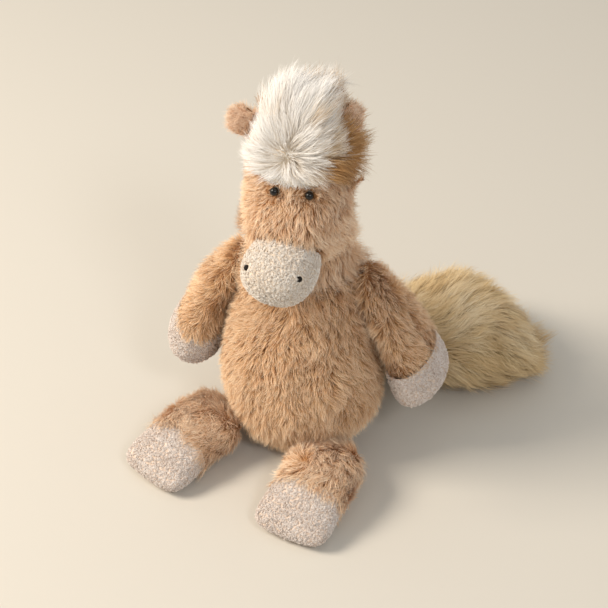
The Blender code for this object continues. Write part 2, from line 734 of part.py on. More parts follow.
# Arms: a fur sleeve and a boucle hoof over one stuffing, turning on a round shoulder seam
ARM_SPAN = ARM_TOP + ARM_LENGTH
ARM_ROWS = [
    (ARM_TOP - share * ARM_SPAN, width * ARM_WIDTH / 2, outer * ARM_OUTER, inner * ARM_INNER)
    for share, width, outer, inner in ARM_SHARES
]
ARM_SEAM = ARM_TOP - ARM_HOOF_SHARE * ARM_SPAN
for side, sign in SIDES.items():
    shoulder_azimuth = CHEST_TURN + sign * math.pi / 2
    reach = torso_reach(SHOULDER_HEIGHT, shoulder_azimuth) + SHOULDER_STANDOFF
    shoulder = pivot(
        "shoulder_" + side,
        (reach * math.sin(shoulder_azimuth), -reach * math.cos(shoulder_azimuth), SHOULDER_HEIGHT),
        (ARM_SWING_BACK, -sign * SHOULDER_TILT, CHEST_TURN),
    )
    arm_line = pivot("arm_line_" + side, (0, 0, 0), (0, sign * (SHOULDER_TILT - ARM_DROOP), 0), shoulder)
    seat = place(
        "shoulder_seat_cut_" + side,
        ball_mesh("shoulder_seat", SHOULDER_SEAT_RADIUS, SEAT_SIDES),
        shoulder,
        None,
        (-sign * (SHOULDER_SEAT_RADIUS - FIT), 0, 0),
    )
    past_seam = box_cutter(
        "arm_hoof_cut_" + side, (-REACH, -REACH, -REACH), (REACH, REACH, ARM_SEAM), arm_line
    )
    before_seam = box_cutter(
        "arm_sleeve_cut_" + side, (-REACH, -REACH, ARM_SEAM - FIT), (REACH, REACH, REACH), arm_line
    )
    turn = (0, 0, sign * math.pi / 2)
    sleeve = form("arm_cover_" + side, ARM_ROWS, arm_line, TAN_FUR, rotation=turn)
    hollow = filling("arm_hollow_" + side, ARM_ROWS, PILE_WALL, arm_line, rotation=turn)
    cut(sleeve, hollow, seat, past_seam)
    hoof = form("fore_hoof_" + side, ARM_ROWS, arm_line, BOUCLE, rotation=turn)
    cut(hoof, hollow, seat, before_seam)
    stuffing = filling(
        "arm_stuffing_" + side, ARM_ROWS, PILE_WALL + STUFFING_FIT, arm_line, FIBRE, turn
    )
    cut(stuffing, seat)


def seam_rows(radius, width):
    """The rounded end of a limb that is sewn flat, from its tip to the seam's middle."""
    return [
        (share * radius, across * width / 2, reach * radius, reach * radius)
        for share, reach, across in SEAM_SHARES
    ]


# Legs: a fur sleeve and a boucle hoof over one stuffing, folding at a flat hip seam
LIE_FLAT = (-math.pi / 2, 0, 0)
LEG_DOWN = HIP_HEIGHT + FLOOR_PRESS
LEG_FORM_ROWS = scaled(LEG_SHARES, -LEG_LENGTH, LEG_WIDTH / 2, LEG_UP, LEG_DOWN)
LEG_CORE_ROWS = LEG_FORM_ROWS[:-1]
LEG_ROWS = seam_rows(HIP_SEAM_RADIUS, HIP_SEAM_WIDTH) + LEG_FORM_ROWS
LEG_SEAM = LEG_HOOF_SHARE * LEG_LENGTH
for side, azimuth in HIP_AZIMUTH.items():
    hip = torso_pivot("hip_" + side, HIP_HEIGHT, azimuth, HIP_STANDOFF)
    hip_seat = rod_mesh("hip_seat", HIP_SEAM_RADIUS + FIT, HIP_SEAM_WIDTH + 2 * FIT, (1, 0, 0))
    cut(TORSO_COVER, place("hip_seat_cut_" + side, hip_seat, hip))
    leg_line = pivot("leg_line_" + side, (0, 0, 0), LIE_FLAT, hip)
    bend = (LEG_BEND_LENGTH, LEG_BEND[side])
    seam_x, seam_z = along_bend(LEG_SEAM, 0, bend)
    seam_frame = pivot("leg_seam_" + side, (seam_x, 0, seam_z), (0, -LEG_BEND[side], 0), leg_line)
    past_seam = box_cutter(
        "leg_hoof_cut_" + side, (-LEG_WIDTH, -LEG_WIDTH, -REACH), (LEG_WIDTH, LEG_WIDTH, 0), seam_frame
    )
    before_seam = box_cutter(
        "leg_sleeve_cut_" + side, (-REACH, -REACH, -FIT), (REACH, REACH, REACH), seam_frame
    )
    shape = {"bend": bend, "squareness": LIMB_SQUARENESS}
    hollow = filling("leg_hollow_" + side, LEG_CORE_ROWS, PILE_WALL, leg_line, **shape)
    sleeve = form("leg_cover_" + side, LEG_ROWS, leg_line, TAN_FUR, **shape)
    cut(sleeve, hollow, past_seam, FLOOR_CUT)
    hoof = form("hind_hoof_" + side, LEG_ROWS, leg_line, BOUCLE, **shape)
    cut(hoof, hollow, before_seam, FLOOR_CUT)
    filling(
        "leg_stuffing_" + side, LEG_CORE_ROWS, PILE_WALL + STUFFING_FIT, leg_line, FIBRE, **shape
    )

# Tail: long pile round a soft core, swinging on an upright seam in the back
TAIL_DOWN = TAIL_SEAT_HEIGHT + FLOOR_PRESS
TAIL_SEAM_ROWS = [
    (height, reach, across, across)
    for height, across, reach, _ in seam_rows(TAIL_SEAM_RADIUS, TAIL_SEAM_WIDTH)
]
TAIL_PLUME_ROWS = scaled(TAIL_SHARES, -TAIL_LENGTH, TAIL_WIDTH / 2, TAIL_UP, TAIL_DOWN)
TAIL_CORE_ROWS = TAIL_PLUME_ROWS[1:-2]
TAIL_SEAT = torso_pivot("tail_seat", TAIL_SEAT_HEIGHT, TAIL_AZIMUTH, TAIL_STANDOFF)
TAIL_SEAT_MESH = rod_mesh("tail_seat", TAIL_SEAM_RADIUS + FIT, TAIL_SEAM_WIDTH + 2 * FIT, (0, 0, 1))
cut(TORSO_COVER, place("tail_seat_cut", TAIL_SEAT_MESH, TAIL_SEAT))
TAIL_LINE = pivot("tail_line", (0, 0, 0), LIE_FLAT, TAIL_SEAT)
TAIL_CURVE = (TAIL_BEND_LENGTH, TAIL_BEND)
TAIL_COVER = form(
    "tail_cover", TAIL_SEAM_ROWS + TAIL_PLUME_ROWS, TAIL_LINE, TAIL_FUR, bend=TAIL_CURVE
)
TAIL_HOLLOW = filling("tail_hollow", TAIL_CORE_ROWS, TAIL_WALL, TAIL_LINE, bend=TAIL_CURVE)
TAIL_ROOT_REACH = 2 * (2 * TAIL_WALL - TAIL_CORE_ROWS[0][0])
TAIL_ROOT_HOLE = place(
    "tail_root_hole",
    rod_mesh("tail_root", TAIL_OPENING / 2, TAIL_ROOT_REACH, (0, 0, 1)),
    TAIL_LINE,
    rotation=(0, -TAIL_BEND / 2, 0),
)
cut(TAIL_COVER, TAIL_HOLLOW, TAIL_ROOT_HOLE, FLOOR_CUT)
filling("tail_core", TAIL_CORE_ROWS, TAIL_WALL + STUFFING_FIT, TAIL_LINE, FIBRE, bend=TAIL_CURVE)
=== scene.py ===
import json
import math
from collections import namedtuple

import bmesh
import bpy
import numpy as np
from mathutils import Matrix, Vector
from mathutils.bvhtree import BVHTree
from mathutils.kdtree import KDTree

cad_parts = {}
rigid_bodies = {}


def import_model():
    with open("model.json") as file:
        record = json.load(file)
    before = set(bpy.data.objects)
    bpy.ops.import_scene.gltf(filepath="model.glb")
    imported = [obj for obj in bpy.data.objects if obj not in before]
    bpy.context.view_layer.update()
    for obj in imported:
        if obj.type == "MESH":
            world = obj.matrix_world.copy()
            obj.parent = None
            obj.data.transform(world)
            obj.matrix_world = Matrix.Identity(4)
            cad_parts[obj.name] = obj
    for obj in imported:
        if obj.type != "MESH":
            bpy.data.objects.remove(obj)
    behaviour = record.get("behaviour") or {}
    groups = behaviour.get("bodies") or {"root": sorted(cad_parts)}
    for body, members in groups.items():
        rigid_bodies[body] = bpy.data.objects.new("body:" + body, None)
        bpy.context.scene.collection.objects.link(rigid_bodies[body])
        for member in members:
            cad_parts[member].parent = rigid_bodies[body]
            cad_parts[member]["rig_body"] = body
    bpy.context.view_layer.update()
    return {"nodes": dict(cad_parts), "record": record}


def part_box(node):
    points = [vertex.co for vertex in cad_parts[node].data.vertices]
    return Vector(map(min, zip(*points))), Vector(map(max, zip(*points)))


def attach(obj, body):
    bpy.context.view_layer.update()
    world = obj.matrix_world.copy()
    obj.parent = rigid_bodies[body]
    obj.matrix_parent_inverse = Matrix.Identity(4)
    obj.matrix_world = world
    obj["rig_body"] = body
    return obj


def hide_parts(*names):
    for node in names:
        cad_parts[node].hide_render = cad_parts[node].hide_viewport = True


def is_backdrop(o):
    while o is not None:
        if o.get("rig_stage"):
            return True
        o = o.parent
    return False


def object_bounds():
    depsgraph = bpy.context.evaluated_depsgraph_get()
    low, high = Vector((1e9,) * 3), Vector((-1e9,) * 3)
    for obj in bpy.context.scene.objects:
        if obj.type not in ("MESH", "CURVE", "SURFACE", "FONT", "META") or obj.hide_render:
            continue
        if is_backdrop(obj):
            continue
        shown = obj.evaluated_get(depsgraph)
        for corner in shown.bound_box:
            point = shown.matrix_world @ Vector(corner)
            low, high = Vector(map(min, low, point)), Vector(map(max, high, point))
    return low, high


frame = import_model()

# The studio. A pale floor, one broad soft lamp high on the left, a smaller weak one on the
# right and an even pale surround. The camera looks down on the toy from its front left.
CAMERA_TURN = math.radians(27)
CAMERA_RISE = math.radians(38)
CAMERA_DISTANCE = 1.30
CAMERA_TARGET = Vector((0.0, 0.0, 0.125))
CAMERA_FIELD = 0.4864
PHOTO_SIDE = 608
FLOOR_SIDE = 8.0
FLOOR_COLOUR = "dad6ce"
FLOOR_GRAIN = 0.5
FLOOR_ROUGHNESS = 0.8
SURROUND_COLOUR = "f1eee8"
SURROUND_STRENGTH = 0.54
KEY_LAMP = {"place": (-1.48, -0.92, 1.62), "side": 0.9, "power": 52.0, "colour": "fff2e0"}
FILL_LAMP = {"place": (1.40, -1.00, 1.75), "side": 0.45, "power": 9.0, "colour": "ffffff"}
MATT_SPECULAR = 0.25
MOTTLE_DETAIL = 5
MOTTLE_SHARES = (0.35, 0.65)
BUMP_STRENGTH = 0.6


def dye(hex_colour):
    """A colour written as six hex digits, as the shaders take it."""
    levels = [int(hex_colour[i : i + 2], 16) / 255 for i in (0, 2, 4)]
    return (*(c / 12.92 if c <= 0.04045 else ((c + 0.055) / 1.055) ** 2.4 for c in levels), 1)


view_from = Vector(
    (
        math.sin(CAMERA_TURN) * math.cos(CAMERA_RISE),
        -math.cos(CAMERA_TURN) * math.cos(CAMERA_RISE),
        math.sin(CAMERA_RISE),
    )
)
camera = bpy.data.objects.new("camera", bpy.data.cameras.new("camera"))
camera.data.angle = 2 * math.atan(CAMERA_FIELD / 2 / CAMERA_DISTANCE)
camera.location = CAMERA_TARGET + view_from * CAMERA_DISTANCE
camera.rotation_euler = (-view_from).to_track_quat("-Z", "Y").to_euler()
bpy.context.scene.collection.objects.link(camera)
bpy.context.scene.camera = camera
bpy.context.scene.view_settings.view_transform = "Standard"


def lamp(name, place, side, power, colour):
    """A square soft lamp that faces the toy."""
    light = bpy.data.lights.new(name, "AREA")
    light.size = side
    light.energy = power
    light.color = dye(colour)[:3]
    made = bpy.data.objects.new(name, light)
    made.location = place
    made.rotation_euler = (CAMERA_TARGET - Vector(place)).to_track_quat("-Z", "Y").to_euler()
    bpy.context.scene.collection.objects.link(made)


lamp("key_lamp", **KEY_LAMP)
lamp("fill_lamp", **FILL_LAMP)
surround = bpy.data.worlds.new("surround")
surround.use_nodes = True
surround.node_tree.nodes["Background"].inputs["Color"].default_value = dye(SURROUND_COLOUR)
surround.node_tree.nodes["Background"].inputs["Strength"].default_value = SURROUND_STRENGTH
bpy.context.scene.world = surround


def shader_of(material, roughness, specular=MATT_SPECULAR):
    """The material's shader, with its plain settings."""
    material.use_nodes = True
    shader = material.node_tree.nodes["Principled BSDF"]
    shader.inputs["Roughness"].default_value = roughness
    shader.inputs["Specular IOR Level"].default_value = specular
    return shader


def mottled(name, dark, light, grain, roughness, depth=0.0):
    """A finish whose colour drifts between two dyes, with a fine bump where it has a depth."""
    material = bpy.data.materials.new(name)
    shader = shader_of(material, roughness)
    nodes, links = material.node_tree.nodes, material.node_tree.links
    place = nodes.new("ShaderNodeTexCoord")
    noise = nodes.new("ShaderNodeTexNoise")
    noise.inputs["Scale"].default_value = 1 / grain
    noise.inputs["Detail"].default_value = MOTTLE_DETAIL
    ramp = nodes.new("ShaderNodeValToRGB")
    for element, share, colour in zip(ramp.color_ramp.elements, MOTTLE_SHARES, (dark, light)):
        element.position = share
        element.color = dye(colour)
    links.new(place.outputs["Object"], noise.inputs["Vector"])
    links.new(noise.outputs["Fac"], ramp.inputs["Fac"])
    links.new(ramp.outputs["Color"], shader.inputs["Base Color"])
    if depth:
        bump = nodes.new("ShaderNodeBump")
        bump.inputs["Distance"].default_value = depth
        bump.inputs["Strength"].default_value = BUMP_STRENGTH
        links.new(noise.outputs["Fac"], bump.inputs["Height"])
        links.new(bump.outputs["Normal"], shader.inputs["Normal"])
    return material


floor_mesh = bpy.data.meshes.new("floor")
floor_bm = bmesh.new()
bmesh.ops.create_grid(floor_bm, x_segments=1, y_segments=1, size=FLOOR_SIDE / 2)
floor_bm.to_mesh(floor_mesh)
floor_bm.free()
floor_paint = mottled("floor_paint", FLOOR_COLOUR, FLOOR_COLOUR, FLOOR_GRAIN, FLOOR_ROUGHNESS)
floor_mesh.materials.append(floor_paint)
floor = bpy.data.objects.new("floor", floor_mesh)
bpy.context.scene.collection.objects.link(floor)
floor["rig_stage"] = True

# The torso. An egg of knitted backing sewn from panels and stuffed, with wavy tan pile that
# falls down and outward from the chest. The cloth lies inside the toy's outline, which the
# pile's tips make, and it takes the dark of the roots.
BACKING_DEPTH = 0.0040
BACKING_THICKNESS = 0.0008
BACKING_GRAIN = 0.0045
BACKING_DYES = {"dark": "8a5f3a", "light": "ac7d52"}
BACKING_MOTTLE = 0.006
BACKING_BUMP = 0.0004
CLOTH_ROUGHNESS = 0.9
CLOSE_MATE = 0.003
RAY_START = 0.00005
WELD = 0.00002
REFINING_PASSES = 5
SMOOTHING_PASSES = 5
SMOOTHING_SHARE = 0.5
Cloth = namedtuple("Cloth", "points normals triangles")
bodies = frame["record"]["behaviour"]["bodies"]
solids = frame["nodes"]


def tree_of(names):
    """A search tree over the outlines of the solids named."""
    points, faces = [], []
    for name in names:
        start = len(points)
        points += [v.co.copy() for v in solids[name].data.vertices]
        faces += [[start + i for i in p.vertices] for p in solids[name].data.polygons]
    return BVHTree.FromPolygons(points, faces)


def refined(name, grain):
    """A solid's outline with no edge longer than the grain."""
    bm = bmesh.new()
    bm.from_mesh(solids[name].data)
    bmesh.ops.remove_doubles(bm, verts=bm.verts, dist=WELD)
    for _ in range(REFINING_PASSES):
        long_edges = [edge for edge in bm.edges if edge.calc_length() > grain]
        if long_edges:
            bmesh.ops.subdivide_edges(bm, edges=long_edges, cuts=1)
            bmesh.ops.triangulate(bm, faces=bm.faces)
    return bm


def relaxed(bm, depth):
    """Smooths an outline and sets it in by a depth, which may depend on the place."""
    inner = [vert for vert in bm.verts if not vert.is_boundary]
    for _ in range(SMOOTHING_PASSES):
        bmesh.ops.smooth_vert(
            bm, verts=inner, factor=SMOOTHING_SHARE, use_axis_x=True, use_axis_y=True, use_axis_z=True
        )
    bm.normal_update()
    for vert in bm.verts:
        vert.co -= vert.normal * (depth(vert.co) if callable(depth) else depth)
    bm.normal_update()
    points = np.array([vert.co for vert in bm.verts])
    normals = np.array([vert.normal for vert in bm.verts])
    bm.verts.index_update()
    triangles = np.array([[vert.index for vert in face.verts] for face in bm.faces])
    bm.free()
    return Cloth(points, normals, triangles)


def outside_of(name, depth, grain=BACKING_GRAIN, mates=None):
    """The outer side of a solid as a fine cloth, without the faces against its mates."""
    family = tree_of(mates or bodies[solids[name]["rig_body"]])
    own = tree_of([name])
    bm = refined(name, grain)
    covered = []
    for face in bm.faces:
        start = face.calc_center_median() + face.normal * RAY_START
        mated = family.ray_cast(start, face.normal, CLOSE_MATE)[0]
        if mated is not None or own.ray_cast(start, face.normal)[0] is not None:
            covered.append(face)
    bmesh.ops.delete(bm, geom=covered, context="FACES")
    return relaxed(bm, depth)


def fit_to(made, name, body, material):
    """Gives a new mesh its object, finish, slot and body."""
    made.materials.append(material)
    made.shade_smooth()
    piece = bpy.data.objects.new(name, made)
    bpy.context.scene.collection.objects.link(piece)
    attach(piece, body)
    return piece


def laid_out(name, cloth):
    """A cloth's mesh."""
    mesh = bpy.data.meshes.new(name)
    mesh.from_pydata(cloth.points.tolist(), [], cloth.triangles.tolist())
    mesh.validate()
    return mesh


def sew(name, cloth, material, replaced, thickness=BACKING_THICKNESS):
    """Cloth as a stuffed cover that stands for a solid."""
    piece = fit_to(laid_out(name, cloth), name, solids[replaced]["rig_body"], material)
    shell = piece.modifiers.new("thickness", "SOLIDIFY")
    shell.thickness = thickness
    shell.offset = -1
    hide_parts(replaced)


# How the torso's pile, and every other pile on the toy, grows from its cloth
MM2_PER_M2 = 1e6
DRIFT_WAVES = 7
DRIFT_SCALE = 2.2
HEADROOM = 0.010
LEAST_ROOM = 0.0012
FULL_ROOM = 0.006
CROWDED_SHARE = 0.55
UNDERSIDE = -0.6
PRESSED_LEVEL = 0.006
LIFT_SPREAD = 0.16
BEND_SIZE = 0.012
BEND_SWING = 3
BENDS = 5.0
UNDERCOAT_SHARES = (0.45, 0.75)
TOPCOAT_SHARES = (0.82, 1.15)
UNDERCOAT_TONE = 0.16
HAIR_TONE_SPREAD = 0.09
LOCK_TONE_SPREAD = 0.11
TONE_RANGE = (0.01, 0.99)
TAN_LOCKS = ((0.14, 0.60, 1.0), (0.045, 0.50, 1.35))
LONER_SHARE = 0.14
LONER_PULL = 0.25
LOCK_REACH = 0.008
SHORTEST_SHARE = 0.12
FRIZZ_POWER = 1.5
FLOOR_GAP = 0.0004
CLEARING_FLARE = 0.35
CLEARING_DEPTH = 0.003
TWIST_SPREAD = 0.5
WIDTH_SHARES = (0.7, 1.3)
TIP_TAPER = 0.75
TONE_ACROSS = 0.006
MAP_RANGE = (0.002, 0.998)
MAP_ROOT = 0.01
MAP_REACH = 0.98
MOST_FACES = 195000
HAIR_WIDTH = 0.00034


def unit(vectors):
    """Each vector at a length of one."""
    return vectors / np.maximum(np.linalg.norm(vectors, axis=-1, keepdims=True), 1e-9)


def ramp(value, start, span):
    """0 up to the start and 1 once past it by the span, which runs downward where it is less than 0."""
    return np.clip((value - start) / span, 0, 1)


def seeds(cloth, per_mm2, rng):
    """Random places on a cloth with their normals."""
    corners = cloth.points[cloth.triangles]
    spans = np.cross(corners[:, 1] - corners[:, 0], corners[:, 2] - corners[:, 0])
    areas = np.linalg.norm(spans, axis=1) / 2
    count = int(areas.sum() * MM2_PER_M2 * per_mm2)
    picked = rng.choice(len(areas), count, p=areas / areas.sum())
    u, v = rng.random((2, count, 1))
    folded = u + v > 1
    u, v = np.where(folded, 1 - u, u), np.where(folded, 1 - v, v)
    shares = np.stack([1 - u - v, u, v], axis=1)
    normals = cloth.normals[cloth.triangles[picked]]
    return (corners[picked] * shares).sum(1), unit((normals * shares).sum(1))


def headroom(points, normals, body):
    """How far each root is from the other bodies' solids, looking along its normal."""
    others = tree_of([name for other in bodies if other != body for name in bodies[other]])
    room = np.full(len(points), HEADROOM)
    for i, (point, normal) in enumerate(zip(points, normals)):
        distance = others.ray_cast(Vector(point), Vector(normal), HEADROOM)[3]
        if distance is not None:
            room[i] = distance
    return room


def drift(points, size, seed):
    """A smooth wandering vector at each place, about one long, that turns over a size."""
    rng = np.random.default_rng(seed)
    waves = rng.normal(size=(DRIFT_WAVES, 3, 3)) / size
    phases = rng.random((DRIFT_WAVES, 3)) * math.tau
    total = sum(np.sin(points @ wave + phase) for wave, phase in zip(waves, phases))
    return total / DRIFT_SCALE


def nearest(points, centres):
    """Which of the centres each place is nearest to."""
    tree = KDTree(len(centres))
    for i, centre in enumerate(centres):
        tree.insert(centre, i)
    tree.balance()
    return np.array([tree.find(point)[1] for point in points])


def rooted(cloth, body, per_mm2, crowded, keep, rng):
    """The roots that have room to stand, with their normals and headroom."""
    roots, normals = seeds(cloth, per_mm2, rng)
    room = headroom(roots, normals, body) if crowded else np.ones(len(roots))
    kept = (room > LEAST_ROOM) & ~((normals[:, 2] < UNDERSIDE) & (roots[:, 2] < PRESSED_LEVEL))
    if keep:
        kept &= keep(roots, normals)
    return roots[kept], normals[kept], room[kept]


def combed(roots, normals, comb, seed, length, lift, steps, spread, wave, rise, rng):
    """Strands that leave their roots at one angle and bend over to another, in slow waves."""
    count = len(roots)
    way = comb(roots, normals)
    way = unit(way - normals * (way * normals).sum(1, keepdims=True))
    turn = rng.normal(0, spread, (count, 1))
    way = unit(way + np.cross(normals, way) * turn)
    t = np.linspace(0, 1, steps + 1)
    angles = lift[0] + (lift[1] - lift[0]) * t[None, 1:] + rng.normal(0, LIFT_SPREAD, (count, 1))
    if rise:
        angles = angles + rise(roots)[:, None]
    headings = np.cos(angles)[..., None] * way[:, None] + np.sin(angles)[..., None] * normals[:, None]
    reach = np.cumsum(headings, axis=1) * length / steps
    paths = roots[:, None] + np.concatenate([np.zeros((count, 1, 3)), reach], axis=1)
    phase = drift(roots, BEND_SIZE, seed + 1)[:, :1] * BEND_SWING
    bends = np.sin(phase + t[None] * BENDS) * t[None] * wave
    return paths + np.cross(normals, way)[:, None] * bends[..., None]


def gathered(paths, share_kept, strength, sharpness, rng):
    """Draws neighbouring strands together towards their tips, into pointed locks."""
    steps = np.linspace(0, 1, paths.shape[1])[None, :, None]
    leaders = rng.choice(len(paths), max(2, int(len(paths) * share_kept)), replace=False)
    lock = nearest(paths[:, 0], paths[leaders, 0])
    pull = strength * np.where(rng.random(len(paths)) < LONER_SHARE, LONER_PULL, 1)
    gap = np.linalg.norm(paths[leaders, 0][lock] - paths[:, 0], axis=1)
    pull = np.where(gap < LOCK_REACH, pull, 0)
    pulled = paths + (paths[leaders][lock] - paths) * pull[:, None, None] * steps**sharpness
    return pulled, lock


def outside_clearings(paths, clearings):
    """Which strands stay out of the cones that are kept clear."""
    seen = np.ones(len(paths), bool)
    for middle, way_out, radius in clearings:
        offset = paths - middle
        along = (offset * way_out).sum(-1)
        aside = np.linalg.norm(offset - along[..., None] * way_out, axis=-1)
        flare = radius + CLEARING_FLARE * np.maximum(along, 0)
        seen &= ~((along > -CLEARING_DEPTH) & (aside < flare)).any(1)
    return seen


def mesh_of(name, points, corners, sides, flat):
    """A mesh from its points, its faces' corners in a row, how many each has, and their map."""
    mesh = bpy.data.meshes.new(name)
    mesh.vertices.add(len(points))
    mesh.vertices.foreach_set("co", points.astype(np.float32).ravel())
    mesh.loops.add(len(corners))
    mesh.loops.foreach_set("vertex_index", corners.astype(np.int32))
    mesh.polygons.add(len(sides))
    starts = np.concatenate([[0], np.cumsum(sides)[:-1]])
    mesh.polygons.foreach_set("loop_start", starts.astype(np.int32))
    mesh.polygons.foreach_set("loop_total", sides.astype(np.int32))
    mesh.uv_layers.new(name="OFBake").data.foreach_set("uv", flat.astype(np.float32).ravel())
    mesh.update(calc_edges=True)
    return mesh


def strand_mesh(name, paths, across, widths, tones):
    """Ribbons that taper to a point, mapped by tone and by how far along the strand they are."""
    count, rings = paths.shape[:2]
    steps = np.linspace(0, 1, rings)
    half = widths[:, None] * (1 - TIP_TAPER * steps[None, :-1] ** 2) / 2
    left = paths[:, :-1] - across[:, :-1] * half[..., None]
    right = paths[:, :-1] + across[:, :-1] * half[..., None]
    sides = np.stack([left, right], axis=2).reshape(count, -1, 3)
    points = np.concatenate([sides, paths[:, -1:]], axis=1)
    per_strand = 2 * rings - 1
    quads = [(2 * k, 2 * k + 1, 2 * k + 3, 2 * k + 2) for k in range(rings - 2)]
    tip = [2 * rings - 4, 2 * rings - 3, 2 * rings - 2]
    corners = np.array([i for quad in quads for i in quad] + tip)
    loops = (np.arange(count)[:, None] * per_strand + corners[None]).ravel()
    totals = np.tile([4] * (rings - 2) + [3], count)
    along = np.append(np.repeat(steps[:-1], 2), steps[-1])
    aside = np.append(np.tile([-1.0, 1.0], rings - 1), 0.0)
    u = np.clip(tones[:, None] + aside[None] * TONE_ACROSS, *MAP_RANGE)
    v = np.broadcast_to(MAP_ROOT + MAP_REACH * along, u.shape)
    flat = np.stack([u, v], axis=-1).reshape(-1, 2)[loops]
    return mesh_of(name, points.reshape(-1, 3), loops, totals, flat)


def no_tint(points, normals):
    """No change of tone."""
    return 0.0


def pile(
    name, cloth, comb, body, material, seed, length, per_mm2, lift, width=HAIR_WIDTH,
    steps=4, spread=0.5, wave=0.0013, under=0.35, locks=TAN_LOCKS, ragged=0.14, rag=0.016,
    frizz=0.0009, tone=0.5, tint=no_tint, rise=None, trim=None, above=None, keep=None,
    clear=(), crowded=True,
):
    """Fur on a cloth. comb gives each root the way it lies, lift its angles at root and tip."""
    rng = np.random.default_rng(seed)
    roots, normals, room = rooted(cloth, body, per_mm2, crowded, keep, rng)
    count = len(roots)
    paths = combed(roots, normals, comb, seed, length, lift, steps, spread, wave, rise, rng)
    undercoat = rng.random(count) < under
    tones = rng.normal(0, HAIR_TONE_SPREAD, count) - undercoat * UNDERCOAT_TONE
    for share_kept, strength, sharpness in locks:
        paths, lock = gathered(paths, share_kept, strength, sharpness, rng)
        tones += rng.normal(0, LOCK_TONE_SPREAD, lock.max() + 1)[lock]
    short, full = rng.uniform(*UNDERCOAT_SHARES, count), rng.uniform(*TOPCOAT_SHARES, count)
    sizes = np.where(undercoat, short, full)
    uneven = 1 + ragged * drift(roots, rag, seed + 2)[:, 0]
    sizes *= uneven * np.clip(room / FULL_ROOM, CROWDED_SHARE, 1)
    if trim:
        sizes *= trim(roots, normals)
    if above is not None:
        drop = np.maximum(roots[:, 2] - paths[:, -1, 2], 1e-6)
        sizes = np.minimum(sizes, np.clip((roots[:, 2] - above) / drop, SHORTEST_SHARE, 2))
    paths = roots[:, None] + (paths - roots[:, None]) * sizes[:, None, None]
    t = np.linspace(0, 1, steps + 1)
    paths += rng.normal(0, frizz, (count, 1, 3)) * t[None, :, None] ** FRIZZ_POWER
    paths[..., 2] = np.maximum(paths[..., 2], FLOOR_GAP)
    tones = np.clip(tone + tones + tint(roots, normals), *TONE_RANGE)
    seen = outside_clearings(paths, clear)
    roots, normals, paths, tones = roots[seen], normals[seen], paths[seen], tones[seen]
    count = len(roots)
    run = np.diff(paths, axis=1)
    run = unit(np.concatenate([run, run[:, -1:]], axis=1))
    across = unit(np.cross(run, normals[:, None]))
    twist = rng.normal(0, TWIST_SPREAD, (count, 1, 1))
    across = across * np.cos(twist) + np.cross(run, across) * np.sin(twist)
    widths = width * rng.uniform(*WIDTH_SHARES, count)
    parts = math.ceil(count * (2 * steps - 1) / MOST_FACES)
    order = np.argsort(np.arctan2(roots[:, 0], -roots[:, 1]), kind="stable")
    for k, members in enumerate(np.array_split(order, parts)):
        label = f"{name}_{k + 1}" if parts > 1 else name
        mesh = strand_mesh(label, paths[members], across[members], widths[members], tones[members])
        fit_to(mesh, label, body, material)


def pile_dye(name, root, dark, middle, light, tip, roughness=0.62, sheen=0.25):
    """Fur's finish: tone runs across the map from dark to light, and root to tip up the map."""
    material = bpy.data.materials.new(name)
    shader = shader_of(material, roughness, 0.2)
    shader.inputs["Sheen Weight"].default_value = sheen
    shader.inputs["Sheen Roughness"].default_value = 0.5
    nodes, links = material.node_tree.nodes, material.node_tree.links
    place = nodes.new("ShaderNodeUVMap")
    place.uv_map = "OFBake"
    split = nodes.new("ShaderNodeSeparateXYZ")
    tone = nodes.new("ShaderNodeValToRGB")
    tone.color_ramp.elements[0].color = dye(dark)
    tone.color_ramp.elements[1].color = dye(light)
    tone.color_ramp.elements.new(0.5).color = dye(middle)
    rise = nodes.new("ShaderNodeValToRGB")
    rise.color_ramp.elements[0].position = 0.0
    rise.color_ramp.elements[1].position = 0.62
    ends = nodes.new("ShaderNodeValToRGB")
    ends.color_ramp.elements[0].position = 0.60
    ends.color_ramp.elements[1].position = 1.0
    ends.color_ramp.elements[1].color = (0.7, 0.7, 0.7, 1)
    body = nodes.new("ShaderNodeMix")
    body.data_type = "RGBA"
    body.inputs["A"].default_value = dye(root)
    tips = nodes.new("ShaderNodeMix")
    tips.data_type = "RGBA"
    tips.inputs["B"].default_value = dye(tip)
    links.new(place.outputs["UV"], split.inputs[0])
    links.new(split.outputs["X"], tone.inputs["Fac"])
    links.new(split.outputs["Y"], rise.inputs["Fac"])
    links.new(split.outputs["Y"], ends.inputs["Fac"])
    links.new(rise.outputs["Color"], body.inputs["Factor"])
    links.new(tone.outputs["Color"], body.inputs["B"])
    links.new(ends.outputs["Color"], tips.inputs["Factor"])
    links.new(body.outputs["Result"], tips.inputs["A"])
    links.new(tips.outputs["Result"], shader.inputs["Base Color"])
    return material


TAN_DYES = {"root": "a0662f", "dark": "d7a471", "middle": "f0c595", "light": "fde1bc", "tip": "fff4e2"}
TORSO_PILE = 0.0125
FALL = np.array([0.0, 0.0, -1.0])
CHEST_SPREAD = np.array([6.0, 2.0, 0.0])
WAVE_SIZE = 0.010
CALM_LEVEL = 0.080
CHEST_WAVES = (0.40, 0.80)
NECK_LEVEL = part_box("torso_cover")[1].z - 0.022
NECK_BAND = 0.016
NECK_GROWTH = 0.45
NECK_LIFT = 0.55
SEAT_LEVEL = 0.060
SEAT_BAND = 0.040
SEAT_GROWTH = 0.30
backing = mottled(
    "knitted_backing", grain=BACKING_MOTTLE, roughness=CLOTH_ROUGHNESS, depth=BACKING_BUMP, **BACKING_DYES
)
tan_pile = pile_dye("tan_pile", **TAN_DYES)


